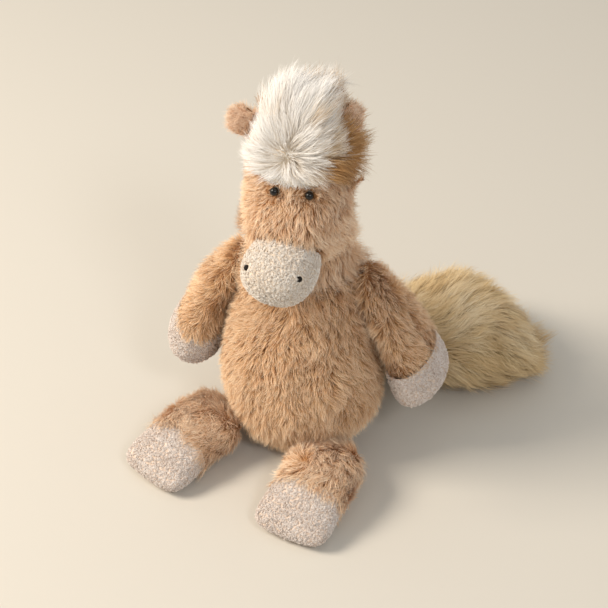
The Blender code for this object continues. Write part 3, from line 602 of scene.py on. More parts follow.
def chest_comb(points, normals):
    """Down, and outward from the middle of the chest, in waves that calm down at the seat."""
    waves = drift(points, WAVE_SIZE, 11)
    waves /= np.maximum(np.linalg.norm(waves, axis=1, keepdims=True), 1)
    return FALL + points * CHEST_SPREAD + waves * np.clip(points[:, 2:] / CALM_LEVEL, *CHEST_WAVES)


def seat_trim(points, normals):
    """Longer towards the seat, where it hangs over the hips, and at the neck."""
    neck = ramp(points[:, 2], NECK_LEVEL, NECK_BAND)
    return 1 + SEAT_GROWTH * ramp(points[:, 2], SEAT_LEVEL, -SEAT_BAND) + NECK_GROWTH * neck


def neck_rise(points):
    """Stands up at the neck, round the head's seam."""
    return NECK_LIFT * ramp(points[:, 2], NECK_LEVEL, NECK_BAND)


torso_cloth = outside_of("torso_cover", BACKING_DEPTH)
sew("torso_skin", torso_cloth, backing, "torso_cover")
pile(
    "torso_fur",
    torso_cloth,
    chest_comb,
    "torso",
    tan_pile,
    seed=1,
    length=TORSO_PILE,
    per_mm2=1.6,
    lift=(1.20, 0.50),
    trim=seat_trim,
    rise=neck_rise,
)

# The head. The same cloth in a taller pattern, with the pile combed down and out from the
# middle of the face, short round the eyes and long at the neck, where it hangs over the seam.
# Two patches are let into it, for the forelock over the brow and for the mane down the back.
PALE_DYES = {"root": "c8925f", "dark": "e2b486", "middle": "f5d0a8", "light": "fee7ca", "tip": "fff6e9"}
HEAD_PILE = 0.0098
HEAD_FLOOR = 0.170
HEAD_DEPTH = 0.0030
TEMPLE_DEPTH = 0.0060
TEMPLE_START = {"above_eyes": 0.004, "aside": 0.012}
TEMPLE_BAND = {"above_eyes": 0.035, "aside": 0.020}
CHEEK_DEPTH = 0.0060
CHEEK_START = {"aside": 0.016, "level": 0.19}
CHEEK_BAND = 0.020
CROWN_DEPTH = 0.0065
CROWN_DROP = 0.035
CROWN_BAND = 0.030
EYE_RADIUS = 0.0033
EYE_CLEARING = 0.0032
EYE_STAND = 0.0007
EYE_UPWARD = 0.6
EYE_WHORL = 2.5
EYE_WHORL_SIZE = 0.008
EYE_TRIM_START = 0.002
EYE_TRIM_BAND = 0.012
EYE_TRIM_SHARE = 0.35
FACE_SPREAD = 14
FACE_WAVES = 0.7
NECK_FUR_TOP = 0.222
NECK_FUR_RISE = 0.030
NECK_FUR_GROWTH = 1.2
MUZZLE_REACH = 0.006
SWIRL_PIXEL = (284, 162)
TUFT_LEFT_PIXEL = (262, 140)
TUFT_RIGHT_PIXEL = (321, 135)
TUFT_TAPER = 0.45
TUFT_BACK = 0.020
TUFT_WAVER = 0.0025
TUFT_WAVER_SIZE = 0.006
FORELOCK_HEM = 0.0110
MANE_FRONT = -0.012


def joint_named(name):
    """The record's joint of that name."""
    return next(joint for joint in frame["record"]["behaviour"]["joints"] if joint["name"] == name)


head_side = np.array(joint_named("head_nod")["axis"])
head_front = np.cross(head_side, [0, 0, 1])
eye_middles = []
for side in ("left", "right"):
    low, high = (np.array(corner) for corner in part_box(f"eye_{side}"))
    middle = (low + high) / 2
    middle[1] = low[1] + EYE_RADIUS
    eye_middles.append(middle + head_front * EYE_STAND)
eye_way = unit(head_front + np.array([0, 0, EYE_UPWARD]))
eye_clearings = [(middle, eye_way, EYE_CLEARING) for middle in eye_middles]
eye_level = eye_middles[0][2]
head_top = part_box("head_cover")[1].z


def head_depth(place):
    """Deeper at the temples, on the crown and down the left side, where longer hair lies."""
    aside = place.dot(head_side)
    high = ramp(place.z - eye_level, TEMPLE_START["above_eyes"], TEMPLE_BAND["above_eyes"])
    wide = ramp(abs(aside), TEMPLE_START["aside"], TEMPLE_BAND["aside"])
    left = ramp(aside, CHEEK_START["aside"], CHEEK_BAND) * ramp(place.z, CHEEK_START["level"], CHEEK_BAND)
    top = ramp(place.z - head_top, -CROWN_DROP, CROWN_BAND)
    return HEAD_DEPTH + TEMPLE_DEPTH * high * wide + CHEEK_DEPTH * left + CROWN_DEPTH * top


head_cloth = outside_of("head_cover", head_depth, mates=["head_cover", "head_stuffing", "neck_stuffing"])
sew("head_skin", head_cloth, backing, "head_cover")
muzzle_tree = tree_of(["muzzle_cover", "muzzle_stuffing"])


def seen_at(pixel, solid):
    """The place on a solid that the camera shows at a pixel."""
    turn = camera.rotation_euler.to_matrix()
    across = (pixel[0] / PHOTO_SIDE - 0.5) * CAMERA_FIELD
    up = (0.5 - pixel[1] / PHOTO_SIDE) * CAMERA_FIELD
    line = turn @ Vector((across, up, -CAMERA_DISTANCE))
    return np.array(tree_of([solid]).ray_cast(camera.location, line.normalized())[0])


swirl = seen_at(SWIRL_PIXEL, "head_cover")
tuft_right = seen_at(TUFT_LEFT_PIXEL, "head_cover") @ head_side
tuft_left = seen_at(TUFT_RIGHT_PIXEL, "head_cover") @ head_side
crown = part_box("forelock")[1].z


def tuft_share(points):
    """0 along the tuft's middle line and 1 at its sides, which waver and draw in upwards."""
    middle, half = (tuft_left + tuft_right) / 2, (tuft_left - tuft_right) / 2
    high = ramp(points[:, 2], swirl[2], crown - swirl[2])
    aside = points @ head_side - middle + drift(points, TUFT_WAVER_SIZE, 63)[:, 0] * TUFT_WAVER
    return aside / half / (1 - TUFT_TAPER * high)


def in_tuft(points, normals=None):
    """Whether a place lies on the tuft's patch."""
    above = points[:, 2] > eye_level + FORELOCK_HEM / 2
    return (np.abs(tuft_share(points)) < 1) & above & (points @ head_front > -TUFT_BACK)


def in_mane(points, normals=None):
    """Whether a place lies on the mane's patch, or beside the tuft on the head's left."""
    back = (points @ head_front < MANE_FRONT) & (points[:, 2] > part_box("mane")[0].z)
    beside = (tuft_share(points) > 1) & (points[:, 2] > eye_level + FORELOCK_HEM)
    return (back | beside) & ~in_tuft(points)


def under_muzzle(points, normals):
    """Whether the muzzle is sewn over a place."""
    rays = ((Vector(point), Vector(normal)) for point, normal in zip(points, normals))
    return np.array([muzzle_tree.ray_cast(*ray, MUZZLE_REACH)[0] is not None for ray in rays])


def on_head(points, normals):
    """Whether the head's own pile shows at a place."""
    own = (points[:, 2] > HEAD_FLOOR) & ~in_tuft(points) & ~in_mane(points)
    return own & ~under_muzzle(points, normals)


def face_comb(points, normals):
    """Down and outward over the face, away from the eyes, and straight down the back."""
    way = FALL + (points @ head_side)[:, None] * head_side * FACE_SPREAD
    way = way + drift(points, WAVE_SIZE, 21) * FACE_WAVES
    for middle in eye_middles:
        offset = points - middle
        distance = np.linalg.norm(offset, axis=1, keepdims=True)
        way += offset / distance * EYE_WHORL * np.exp(-((distance / EYE_WHORL_SIZE) ** 2))
    return way


def face_trim(points, normals):
    """Shorter round the eyes, and longer at the neck."""
    distance = np.min([np.linalg.norm(points - middle, axis=1) for middle in eye_middles], axis=0)
    neck = ramp(points[:, 2], NECK_FUR_TOP, -NECK_FUR_RISE)
    near_eyes = np.clip((distance - EYE_TRIM_START) / EYE_TRIM_BAND, EYE_TRIM_SHARE, 1)
    return near_eyes * (1 + NECK_FUR_GROWTH * neck)


pale_pile = pile_dye("pale_pile", **PALE_DYES)
pile(
    "head_fur",
    head_cloth,
    face_comb,
    "head",
    pale_pile,
    seed=2,
    length=HEAD_PILE,
    per_mm2=1.7,
    lift=(1.20, 0.50),
    width=0.00033,
    keep=on_head,
    tone=0.56,
    trim=face_trim,
    clear=eye_clearings,
)

# The forelock. A tuft of long off-white silky pile, let in over the brow and crown, whose hairs
# spring from a swirl low on the brow and fan out over the head. On its left it fades to beige.
CREAM_DYES = {"root": "efe5d8", "dark": "d9b885", "middle": "faf7f3", "light": "fffefd", "tip": "fffefe"}
BROW_DYES = {"dark": "e2d2ba", "light": "f4eadb"}
BROW_MOTTLE = 0.006
FORELOCK_PILE = 0.031
PATCH_LIFT = 0.0012
SWIRL_UPWARD = 0.25
SWIRL_WAVES = 0.22
SWIRL_WAVE_SIZE = 0.018
SWIRL_LIFT = 0.45
SWIRL_SIZE = 0.015
SWIRL_SHARE = 0.66
SWIRL_GROWTH_LENGTH = 0.07
SIDE_TRIM = {"start": 0.6, "band": 0.4, "height": 0.03, "share": 0.35}
STREAK = {"size": 0.005, "start": 0.70, "strength": 0.4}
FADE_START = 0.35
FADE_MOST = 0.62


def patch_of(cloth, inside):
    """The part of a cloth whose triangles have their middles inside, laid on top of it."""
    triangles = cloth.triangles[inside(cloth.points[cloth.triangles].mean(1))]
    used, renumbered = np.unique(triangles, return_inverse=True)
    points = cloth.points[used] + cloth.normals[used] * PATCH_LIFT
    return Cloth(points, cloth.normals[used], renumbered.reshape(-1, 3))


def swirl_comb(points, normals):
    """Away from the swirl, in slow waves."""
    waves = drift(points, SWIRL_WAVE_SIZE, 61) * SWIRL_WAVES
    return unit(points - swirl) + np.array([0, 0, SWIRL_UPWARD]) + waves


def swirl_rise(points):
    """Stands up at the swirl."""
    return SWIRL_LIFT * np.exp(-((np.linalg.norm(points - swirl, axis=1) / SWIRL_SIZE) ** 2))


def tuft_trim(points, normals):
    """Shorter at the swirl and at the tuft's lower sides."""
    aside = ramp(np.abs(tuft_share(points)), SIDE_TRIM["start"], SIDE_TRIM["band"])
    low = np.clip(1 - (points[:, 2] - swirl[2]) / SIDE_TRIM["height"], 0, 1)
    away = np.linalg.norm(points - swirl, axis=1) / SWIRL_GROWTH_LENGTH
    return np.clip(SWIRL_SHARE + away, SWIRL_SHARE, 1) * (1 - SIDE_TRIM["share"] * aside * low)


def fades_to_tan(points, normals):
    """Beige towards the tuft's left side, with streaks of it all over."""
    wander = drift(points, STREAK["size"], 64)[:, 1]
    streaks = np.maximum(wander - STREAK["start"], 0) * STREAK["strength"]
    return -np.clip(tuft_share(points) - FADE_START, 0, FADE_MOST) - streaks


cream_pile = pile_dye("cream_pile", roughness=0.5, sheen=0.3, **CREAM_DYES)
brow_backing = mottled("brow_backing", grain=BROW_MOTTLE, roughness=CLOTH_ROUGHNESS, **BROW_DYES)
sew("forelock_skin", patch_of(head_cloth, in_tuft), brow_backing, "forelock")
pile(
    "forelock_hair",
    head_cloth,
    swirl_comb,
    "head",
    cream_pile,
    seed=62,
    length=FORELOCK_PILE,
    per_mm2=2.9,
    lift=(1.05, 0.10),
    steps=6,
    spread=0.26,
    wave=0.0014,
    under=0.32,
    ragged=0.17,
    rag=0.006,
    tone=0.74,
    frizz=0.0014,
    locks=((0.040, 0.76, 1.3), (0.012, 0.34, 1.5)),
    rise=swirl_rise,
    trim=tuft_trim,
    above=eye_level + FORELOCK_HEM,
    tint=fades_to_tan,
    keep=in_tuft,
    clear=eye_clearings,
)

# The mane. Longer brown pile with dark tips, let into the head's cloth down its back and along
# the forelock's left side, from where it stands out past the head's outline.
MANE_DYES = {"root": "8f6238", "dark": "a97a49", "middle": "d2a46c", "light": "e8c391", "tip": "6b4423"}
MANE_PILE = 0.025
MANE_FALL_BAND = 0.06
MANE_FALL_MOST = 1.5
MANE_WAVES = 0.45
MANE_WAVE_SIZE = 0.014
MANE_NECK = {"above_eyes": 0.010, "band": 0.030, "share": 0.45}
MANE_CROWN = {"above": 0.004, "band": 0.036, "share": 0.40}


def mane_comb(points, normals):
    """Away from the swirl over the crown and the sides, and then down the back."""
    fall = np.clip((swirl[2] - points[:, 2:]) / MANE_FALL_BAND, 0, MANE_FALL_MOST) * FALL
    return unit(points - swirl) + fall + drift(points, MANE_WAVE_SIZE, 71) * MANE_WAVES


def mane_trim(points, normals):
    """Shorter on the crown, where the forelock stands over it, and down the neck."""
    below = (eye_level + MANE_NECK["above_eyes"] - points[:, 2]) / MANE_NECK["band"]
    under_crown = (crown + MANE_CROWN["above"] - points[:, 2]) / MANE_CROWN["band"]
    return np.clip(under_crown, MANE_CROWN["share"], 1) * np.clip(1 - below, MANE_NECK["share"], 1)


mane_pile = pile_dye("mane_pile", roughness=0.6, **MANE_DYES)
sew("mane_skin", patch_of(head_cloth, in_mane), backing, "mane")
pile(
    "mane_hair",
    head_cloth,
    mane_comb,
    "head",
    mane_pile,
    seed=72,
    length=MANE_PILE,
    per_mm2=1.7,
    lift=(1.20, 0.80),
    width=0.00036,
    steps=5,
    frizz=0.0015,
    locks=((0.04, 0.78, 1.2), (0.012, 0.35, 1.6)),
    ragged=0.17,
    rag=0.006,
    trim=mane_trim,
    keep=in_mane,
)

# Arms and legs. Tubes of the same cloth, stuffed and sewn to the torso, with the pile combed
# down towards the hoof so that it hangs over the hoof's seam. The legs' pile is dyed paler and lighter than
# the arms', painted light against the shade their hairs fall into.
LIMB_PILE = {"arm": 0.0120, "leg": 0.0118}
LIMB_LIFT = {"arm": (1.20, 0.45), "leg": (0.70, 0.15)}
LIMB_SPREAD = {"arm": 0.5, "leg": 0.75}
LIMB_DEPTH = {"arm": 0.0040, "leg": 0.0025}
LIMB_END = {"arm": 0.62, "leg": 1.30}
# the legs' lighter tone and paler pile are painted light, which lifts the shade their raised hairs fall into
LIMB_TONE = {"arm": 0.52, "leg": 0.70}
LIMB_FINISH = {"arm": tan_pile, "leg": pale_pile}
LIMB_JOINT = {"arm": "shoulder_swing", "leg": "hip_fold"}
LIMB_SEED = {"left": 37, "right": 38}
LIMB_WAVES = 0.65
SEAM_LIFT = 0.15
SEAM_REACH = 0.034
HOOF_REACH = 0.045
HOOF_BAND_SHARE = 0.38
HOOF_OF = {"arm": "fore_hoof", "leg": "hind_hoof"}


def middle_of(name):
    """The middle of a solid's box."""
    low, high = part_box(name)
    return (low + high) / 2


def furry_limb(limb, side):
    """An arm or a leg, from its seam on the torso to its hoof."""
    sleeve = f"{limb}_cover_{side}"
    hoof_middle = middle_of(f"{HOOF_OF[limb]}_{side}")
    to_hoof = np.array((hoof_middle - middle_of(sleeve)).normalized())
    hoof_middle = np.array(hoof_middle)
    sewn_at = np.array(joint_named(f"{LIMB_JOINT[limb]}_{side}")["pos_m"])

    def limb_comb(points, normals):
        """Along the limb, in waves."""
        return to_hoof + drift(points, WAVE_SIZE, 31) * LIMB_WAVES

    def limb_rise(points):
        """Stands up where the limb is sewn on, and fills the crease."""
        return SEAM_LIFT * np.clip(1 - np.linalg.norm(points - sewn_at, axis=1) / SEAM_REACH, 0, 1)

    def limb_trim(points, normals):
        """Shorter where an arm meets its hoof, and longer over the seam of a leg's."""
        near = 1 - np.clip(np.linalg.norm(points - hoof_middle, axis=1) / HOOF_REACH, 0, 1)
        return 1 + (LIMB_END[limb] - 1) * np.clip(near / HOOF_BAND_SHARE, 0, 1)

    sleeve_cloth = outside_of(sleeve, LIMB_DEPTH[limb])
    sew(f"{limb}_skin_{side}", sleeve_cloth, backing, sleeve)
    pile(
        f"{limb}_fur_{side}",
        sleeve_cloth,
        limb_comb,
        solids[sleeve]["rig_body"],
        LIMB_FINISH[limb],
        seed=LIMB_SEED[side],
        length=LIMB_PILE[limb],
        per_mm2=1.6,
        lift=LIMB_LIFT[limb],
        rise=limb_rise,
        trim=limb_trim,
        spread=LIMB_SPREAD[limb],
        tone=LIMB_TONE[limb],
    )


for limb in ("arm", "leg"):
    for side in ("left", "right"):
        furry_limb(limb, side)

# The muzzle and the hooves. Covers of looped boucle, cream on the muzzle and pinkish oat on
# the hooves, each sewn in over its stuffing. The yarn's small curls stand up all over, with painted shade
# under each yarn and painted light on its top.
CREAM_YARN_DYES = {"root": "dccbb9", "dark": "eadccd", "middle": "f8eee3", "light": "fffaf4", "tip": "fffefb"}
OAT_YARN_DYES = {"root": "d6c4b9", "dark": "e4d5cb", "middle": "f1e6df", "light": "f9f2ee", "tip": "fbf7f5"}
CREAM_CLOTH_DYES = {"dark": "d8c8b6", "light": "efe3d5"}
OAT_CLOTH_DYES = {"dark": "d6c3b2", "light": "eddccf"}
BOUCLE_MOTTLE = 0.0016
BOUCLE_GRAIN = 0.0011
BOUCLE_ROOM = 0.002
BOUCLE_PRESSED_LEVEL = 0.004
BOUCLE_TONE_SPREAD = 0.16
BOUCLE_TONE_DRIFT = {"size": 0.008, "strength": 0.15}
BOUCLE_TONE_RANGE = (0.02, 0.98)
YARN_ROUGHNESS = 0.85
YARN_SHEEN = 0.3
YARN_RADIUS = 0.00031
YARN_SIDES = 3
YARN_SIDE_START = 0.5
# where each side of the yarn lies on the map: painted shade, the dark root colour, on the side facing the
# cloth, and painted light, the pale tip colour, on the upper inner side
YARN_PAINTED_SHADE_AND_LIGHT = (0.55, 0.95, 0.10)
YARN_TONE_ALONG = 0.01
LOOP_RADIUS = 0.00070
LOOP_TURNS = 1.05
LOOP_STEPS = 5
LOOP_SIZE_SHARES = (0.65, 1.25)
LOOP_TILTS = (0.15, 1.35)
LOOP_CLIMB_SHARE = 0.8
LOOPS_PER_MM2 = 0.78
KNOB_SPACING = 0.0017
KNOB_HEIGHT = 0.0007
NOSTRIL_CLEARING = 0.0036
MUZZLE_DRAW = 0.15
MUZZLE_DRAW_START = 0.004
MUZZLE_FLATTEN = 0.07
muzzle_middle = np.array(middle_of("muzzle_cover"))


def loop_mesh(name, roots, normals, tones, rng):
    """Small curls of yarn, each a ring or more lying tilted on the cloth, with painted shade on each yarn's
    side towards the cloth and painted light on its upper inner side.
    """
    count = len(roots)
    aside = unit(np.cross(normals, rng.normal(size=(count, 3))))
    ahead = np.cross(normals, aside)
    turns = np.linspace(0, LOOP_TURNS * math.tau, LOOP_STEPS + 1)[None, :, None]
    sizes = (LOOP_RADIUS * rng.uniform(*LOOP_SIZE_SHARES, count))[:, None, None]
    tilt = rng.uniform(*LOOP_TILTS, count)[:, None, None]
    ahead = ahead[:, None] * np.cos(tilt) + normals[:, None] * np.sin(tilt)
    radial = np.cos(turns) * aside[:, None] + np.sin(turns) * ahead
    climb = sizes * np.sin(tilt) * LOOP_CLIMB_SHARE + turns / math.tau * YARN_RADIUS
    middles = roots[:, None] + radial * sizes + normals[:, None] * climb
    square = np.cross(np.broadcast_to(aside[:, None], ahead.shape), ahead)
    rings = []
    for k in range(YARN_SIDES):
        angle = k * math.tau / YARN_SIDES + YARN_SIDE_START
        rings.append(middles + (math.cos(angle) * radial + math.sin(angle) * square) * YARN_RADIUS)
    points = np.stack(rings, axis=2).reshape(-1, 3)
    per_loop = YARN_SIDES * (LOOP_STEPS + 1)
    quads = []
    for ring in range(0, LOOP_STEPS * YARN_SIDES, YARN_SIDES):
        for k in range(YARN_SIDES):
            beside = (k + 1) % YARN_SIDES
            quads.append((ring + k, ring + beside, ring + YARN_SIDES + beside, ring + YARN_SIDES + k))
    faces = (np.arange(count)[:, None, None] * per_loop + np.array(quads)[None]).reshape(-1, 4)
    along = np.repeat(np.linspace(-YARN_TONE_ALONG, YARN_TONE_ALONG, LOOP_STEPS + 1), YARN_SIDES)
    u = np.repeat(tones, per_loop) + np.tile(along, count)
    # painted shade and light across each yarn, by its side
    v = np.tile(np.array(YARN_PAINTED_SHADE_AND_LIGHT), count * (LOOP_STEPS + 1))
    flat = np.stack([np.clip(u, *MAP_RANGE), v], axis=-1)[faces.ravel()]
    return mesh_of(name, points, faces.ravel(), np.full(len(faces), 4), flat)


def drawn_in(points):
    """Flatter, and narrower on the muzzle's left, where it is stuffed less."""
    offset = points - muzzle_middle
    shift = head_side * MUZZLE_DRAW * np.maximum(offset @ head_side - MUZZLE_DRAW_START, 0)[:, None]
    return points - shift - offset * np.array([0, 0, MUZZLE_FLATTEN])


def boucle(label, solid, cloth_finish, yarn_finish, seed):
    """A stuffed boucle cover, knobbed all over, with its curls."""
    rng = np.random.default_rng(seed)
    cloth = outside_of(solid, KNOB_HEIGHT + LOOP_RADIUS, BOUCLE_GRAIN)
    if solid == "muzzle_cover":
        cloth = cloth._replace(points=drawn_in(cloth.points))
    knobs = seeds(cloth, 1 / MM2_PER_M2 / KNOB_SPACING**2, rng)[0]
    middles = knobs[nearest(cloth.points, knobs)]
    off = np.linalg.norm(cloth.points - middles, axis=1) / KNOB_SPACING
    rise = KNOB_HEIGHT * np.sqrt(np.clip(1 - off**2, 0, 1))
    cloth = cloth._replace(points=cloth.points + cloth.normals * rise[:, None])
    sew(f"{label}_cloth", cloth, cloth_finish, solid)
    roots, normals = seeds(cloth, LOOPS_PER_MM2, rng)
    body = solids[solid]["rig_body"]
    pressed = (normals[:, 2] < UNDERSIDE) & (roots[:, 2] < BOUCLE_PRESSED_LEVEL)
    kept = (headroom(roots, normals, body) > BOUCLE_ROOM) & ~pressed
    for knot in ("nostril_left", "nostril_right"):
        kept &= np.linalg.norm(roots - np.array(middle_of(knot)), axis=1) > NOSTRIL_CLEARING
    roots, normals = roots[kept], normals[kept]
    wander = drift(roots, BOUCLE_TONE_DRIFT["size"], seed)[:, 0] * BOUCLE_TONE_DRIFT["strength"]
    tones = np.clip(0.5 + rng.normal(0, BOUCLE_TONE_SPREAD, len(roots)) + wander, *BOUCLE_TONE_RANGE)
    curls = loop_mesh(f"{label}_loops", roots, normals, tones, rng)
    fit_to(curls, f"{label}_loops", body, yarn_finish)


cream_yarn = pile_dye("cream_yarn", roughness=YARN_ROUGHNESS, sheen=YARN_SHEEN, **CREAM_YARN_DYES)
oat_yarn = pile_dye("oat_yarn", roughness=YARN_ROUGHNESS, sheen=YARN_SHEEN, **OAT_YARN_DYES)
cream_cloth = mottled("cream_cloth", grain=BOUCLE_MOTTLE, roughness=CLOTH_ROUGHNESS, **CREAM_CLOTH_DYES)
oat_cloth = mottled("oat_cloth", grain=BOUCLE_MOTTLE, roughness=CLOTH_ROUGHNESS, **OAT_CLOTH_DYES)
boucle("muzzle", "muzzle_cover", cream_cloth, cream_yarn, 51)
for k, side in enumerate(("left", "right")):
    boucle(f"fore_hoof_{side}_boucle", f"fore_hoof_{side}", oat_cloth, oat_yarn, 52 + k)
    boucle(f"hind_hoof_{side}_boucle", f"hind_hoof_{side}", oat_cloth, oat_yarn, 54 + k)

# The ears. Two small rounded panels each, short pinkish plush in front and tan pile behind,
# sewn together at the rim and into the head's seam. The left one is drawn in under the mane.
LINING_DYES = {"root": "deb08a", "dark": "ecc29e", "middle": "f8d8ba", "light": "fde6cf", "tip": "fff2e4"}
LINING_CLOTH_DYES = {"dark": "c8946f", "light": "dcac88"}
LINING_MOTTLE = 0.004
LINING_PILE = 0.0058
EAR_BACK_PILE = 0.0062
EAR_DEPTH = 0.0010
EAR_GRAIN = 0.0025
EAR_THICKNESS = 0.0005
EAR_WAVES = 0.3
EAR_SHIFT = {"left": head_side * -0.015 + np.array([0, 0, 0.007]), "right": head_side * 0.002}
lining_pile = pile_dye("lining_pile", roughness=0.7, sheen=0.4, **LINING_DYES)
lining_cloth = mottled("lining_cloth", grain=LINING_MOTTLE, roughness=CLOTH_ROUGHNESS, **LINING_CLOTH_DYES)


def ear_panel(panel, side, pile_finish, cloth_finish, length, seed):
    """The front or the back of an ear, moved a little with its fellow."""
    solid = f"{panel}_{side}"
    outward = np.array((middle_of(solid) - middle_of("head_cover")).normalized())

    def ear_comb(points, normals):
        """Outward to the ear's edge."""
        return outward + drift(points, WAVE_SIZE, 81) * EAR_WAVES

    ear_cloth = outside_of(solid, EAR_DEPTH, EAR_GRAIN)
    ear_cloth = ear_cloth._replace(points=ear_cloth.points + EAR_SHIFT[side])
    sew(f"{panel}_skin_{side}", ear_cloth, cloth_finish, solid, EAR_THICKNESS)
    pile(
        f"{panel}_fur_{side}",
        ear_cloth,
        ear_comb,
        solids[solid]["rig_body"],
        pile_finish,
        seed=seed,
        length=length,
        per_mm2=3.5,
        lift=(0.55, 0.10),
        width=0.00032,
        spread=1.1,
        frizz=0.0018,
        tone=0.7,
        crowded=False,
    )


for k, side in enumerate(("left", "right")):
    ear_panel("ear_lining", side, lining_pile, lining_cloth, LINING_PILE, 96 + k)
    ear_panel("ear_back", side, pale_pile, backing, EAR_BACK_PILE, 94 + k)

# The tail. A broad plume of long khaki pile round a soft core, sewn to the back of the torso.
# The hairs leave a line down the middle and sweep outward and back, with painted shade that darkens them near
# the floor.
TAIL_DYES = {"root": "b4935f", "dark": "cbab78", "middle": "ecd5a8", "light": "fdf1d6", "tip": "e2c596"}
TAIL_CLOTH_DYES = {"dark": "846540", "light": "a8875c"}
TAIL_MOTTLE = 0.008
TAIL_PILE = 0.030
TAIL_DEPTH = 0.0085
TAIL_END_DEPTH = 0.011
TAIL_END = 0.045
TAIL_GRAIN = 0.006
PLUME_SPREAD = 1.4
PLUME_WAVES = 0.25
PLUME_WAVE_SIZE = 0.02
PLUME_END_SHARE = 0.40
PLUME_STREAK = {"size": 0.012, "strength": 0.16}
# painted shade: how much darker the plume's hair is dyed near the floor, where shadow falls
PLUME_PAINTED_SHADE = {"level": 0.035, "band": 0.03, "strength": 0.38}
tail_pile = pile_dye("tail_pile", roughness=0.55, sheen=0.3, **TAIL_DYES)
tail_root = np.array(middle_of("torso_cover")) * np.array([1, 1, 0])
tail_points = np.array([vert.co for vert in solids["tail_cover"].data.vertices])
tail_far = tail_points[np.argmax(np.linalg.norm((tail_points - tail_root)[:, :2], axis=1))]
tail_line = unit((tail_far - tail_root) * np.array([1, 1, 0]))
tail_side = np.cross(tail_line, [0, 0, 1])


def tail_depth(place):
    """Deeper at the far end, where the hair makes most of the plume's length."""
    far = 1 + float((np.array(place) - tail_far) @ tail_line) / TAIL_END
    return TAIL_DEPTH + TAIL_END_DEPTH * min(max(far, 0), 1)


def plume_comb(points, normals):
    """Back along the tail, and outward from its middle line."""
    aside = np.clip(((points - tail_far) @ tail_side)[:, None] / TAIL_END, -PLUME_SPREAD, PLUME_SPREAD)
    return tail_line + tail_side * aside + drift(points, PLUME_WAVE_SIZE, 91) * PLUME_WAVES


def plume_trim(points, normals):
    """Shorter at the far end."""
    return np.clip(PLUME_END_SHARE + (tail_far - points) @ tail_line / TAIL_END, PLUME_END_SHARE, 1)


def plume_streaks_and_painted_shade(points, normals):
    """Streaks, and painted shade that darkens the hair near the floor."""
    # painted shade, strongest at the floor
    low = ramp(points[:, 2], PLUME_PAINTED_SHADE["level"], -PLUME_PAINTED_SHADE["band"])
    streaks = drift(points, PLUME_STREAK["size"], 93)[:, 0] * PLUME_STREAK["strength"]
    return streaks - PLUME_PAINTED_SHADE["strength"] * low


tail_cloth = outside_of("tail_cover", tail_depth, TAIL_GRAIN)
tail_backing = mottled("tail_backing", grain=TAIL_MOTTLE, roughness=CLOTH_ROUGHNESS, **TAIL_CLOTH_DYES)
sew("tail_skin", tail_cloth, tail_backing, "tail_cover")
pile(
    "tail_hair",
    tail_cloth,
    plume_comb,
    "tail",
    tail_pile,
    seed=92,
    length=TAIL_PILE,
    per_mm2=1.25,
    lift=(0.85, 0.0),
    width=0.00036,
    steps=6,
    spread=0.28,
    frizz=0.0016,
    wave=0.0016,
    locks=((0.035, 0.78, 1.2), (0.01, 0.40, 1.6)),
    ragged=0.16,
    rag=0.009,
    tint=plume_streaks_and_painted_shade,
    trim=plume_trim,
)

# The eyes and nostrils. Glossy black beads, made as balls without their shanks, and knots of black thread
# that are pulled down into the muzzle's boucle.
BEAD_COLOUR = "080707"
BEAD_ROUGHNESS = 0.04
BEAD_SPECULAR = 0.5
THREAD_DYES = {"dark": "0d0b0a", "light": "2a2522"}
THREAD_MOTTLE = 0.0004
THREAD_BUMP = 0.0002
THREAD_ROUGHNESS = 0.75
KNOT_RIDGES = 14
KNOT_RIDGE_SHARE = 0.05
bead_black = bpy.data.materials.new("bead_black")
bead_shader = shader_of(bead_black, BEAD_ROUGHNESS, BEAD_SPECULAR)
bead_shader.inputs["Base Color"].default_value = dye(BEAD_COLOUR)
thread_black = mottled(
    "black_thread", grain=THREAD_MOTTLE, roughness=THREAD_ROUGHNESS, depth=THREAD_BUMP, **THREAD_DYES
)


def ball(name, centre, radius, ridge_share, material, replaced):
    """A fine ball that stands for a bead or, with ridges, for a knot."""
    bm = bmesh.new()
    bmesh.ops.create_uvsphere(bm, u_segments=40, v_segments=28, radius=radius)
    for vert in bm.verts:
        vert.co *= 1 + ridge_share * math.cos(vert.co.x / radius * KNOT_RIDGES)
    bmesh.ops.translate(bm, vec=centre, verts=bm.verts)
    mesh = bpy.data.meshes.new(name)
    bm.to_mesh(mesh)
    bm.free()
    piece = fit_to(mesh, name, "head", material)
    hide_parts(replaced)


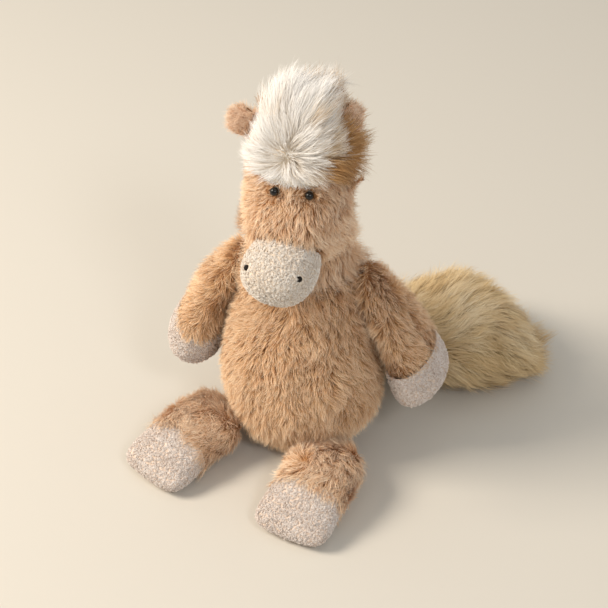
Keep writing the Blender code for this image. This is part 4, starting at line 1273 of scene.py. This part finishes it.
for side, bead in zip(("left", "right"), eye_middles):
    ball(f"eye_bead_{side}", bead, EYE_RADIUS, 0.0, bead_black, f"eye_{side}")
    nostril = f"nostril_{side}"
    low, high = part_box(nostril)
    knot = (high - low).length / 2 / math.sqrt(3)
    knot_middle = drawn_in(np.array([(low + high) / 2]))[0]
    label = f"nostril_knot_{side}"
    ball(label, knot_middle, knot, KNOT_RIDGE_SHARE, thread_black, nostril)

# Inside. Carded white fibre in every cover, a cloth pouch of beans in the seat, and nylon
# washers that lock the eyes' shanks behind the face.
FIBRE_DYES = {"dark": "dcdad4", "light": "f4f3ee"}
FIBRE_MOTTLE = 0.004
FIBRE_BUMP = 0.001
FIBRE_ROUGHNESS = 0.95
FIBRE_GRAIN = 0.008
FIBRE_DEPTH = 0.0016
POUCH_DYES = {"dark": "b9b2a4", "light": "cfc8ba"}
POUCH_MOTTLE = 0.0008
POUCH_BUMP = 0.0003
NYLON_DYES = {"dark": "d6d3cb", "light": "e2dfd8"}
NYLON_MOTTLE = 0.002
NYLON_ROUGHNESS = 0.45
fibre = mottled(
    "carded_fibre", grain=FIBRE_MOTTLE, roughness=FIBRE_ROUGHNESS, depth=FIBRE_BUMP, **FIBRE_DYES
)
pouch = mottled(
    "pouch_cloth", grain=POUCH_MOTTLE, roughness=CLOTH_ROUGHNESS, depth=POUCH_BUMP, **POUCH_DYES
)
nylon = mottled("nylon", grain=NYLON_MOTTLE, roughness=NYLON_ROUGHNESS, **NYLON_DYES)


def head_fibre_depth(place):
    """As much deeper as the head's cloth lies there."""
    return FIBRE_DEPTH + head_depth(place) - HEAD_DEPTH


def tail_core_depth(place):
    """As much deeper as the tail's cloth lies there."""
    return FIBRE_DEPTH + tail_depth(place) - TAIL_DEPTH


depths = {"head_stuffing": head_fibre_depth, "tail_core": tail_core_depth}
for name, solid in list(solids.items()):
    if "stuffing" in name or name == "tail_core":
        loft = relaxed(refined(name, FIBRE_GRAIN), depths.get(name, FIBRE_DEPTH))
        if name == "muzzle_stuffing":
            loft = loft._replace(points=drawn_in(loft.points))
        label = f"{name}_fibre"
        piece = fit_to(laid_out(label, loft), label, solid["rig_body"], fibre)
        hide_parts(name)
    elif name == "bean_bag":
        solid.data.materials[0] = pouch
    elif name.startswith("eye_washer"):
        solid.data.materials[0] = nylon

low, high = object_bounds()
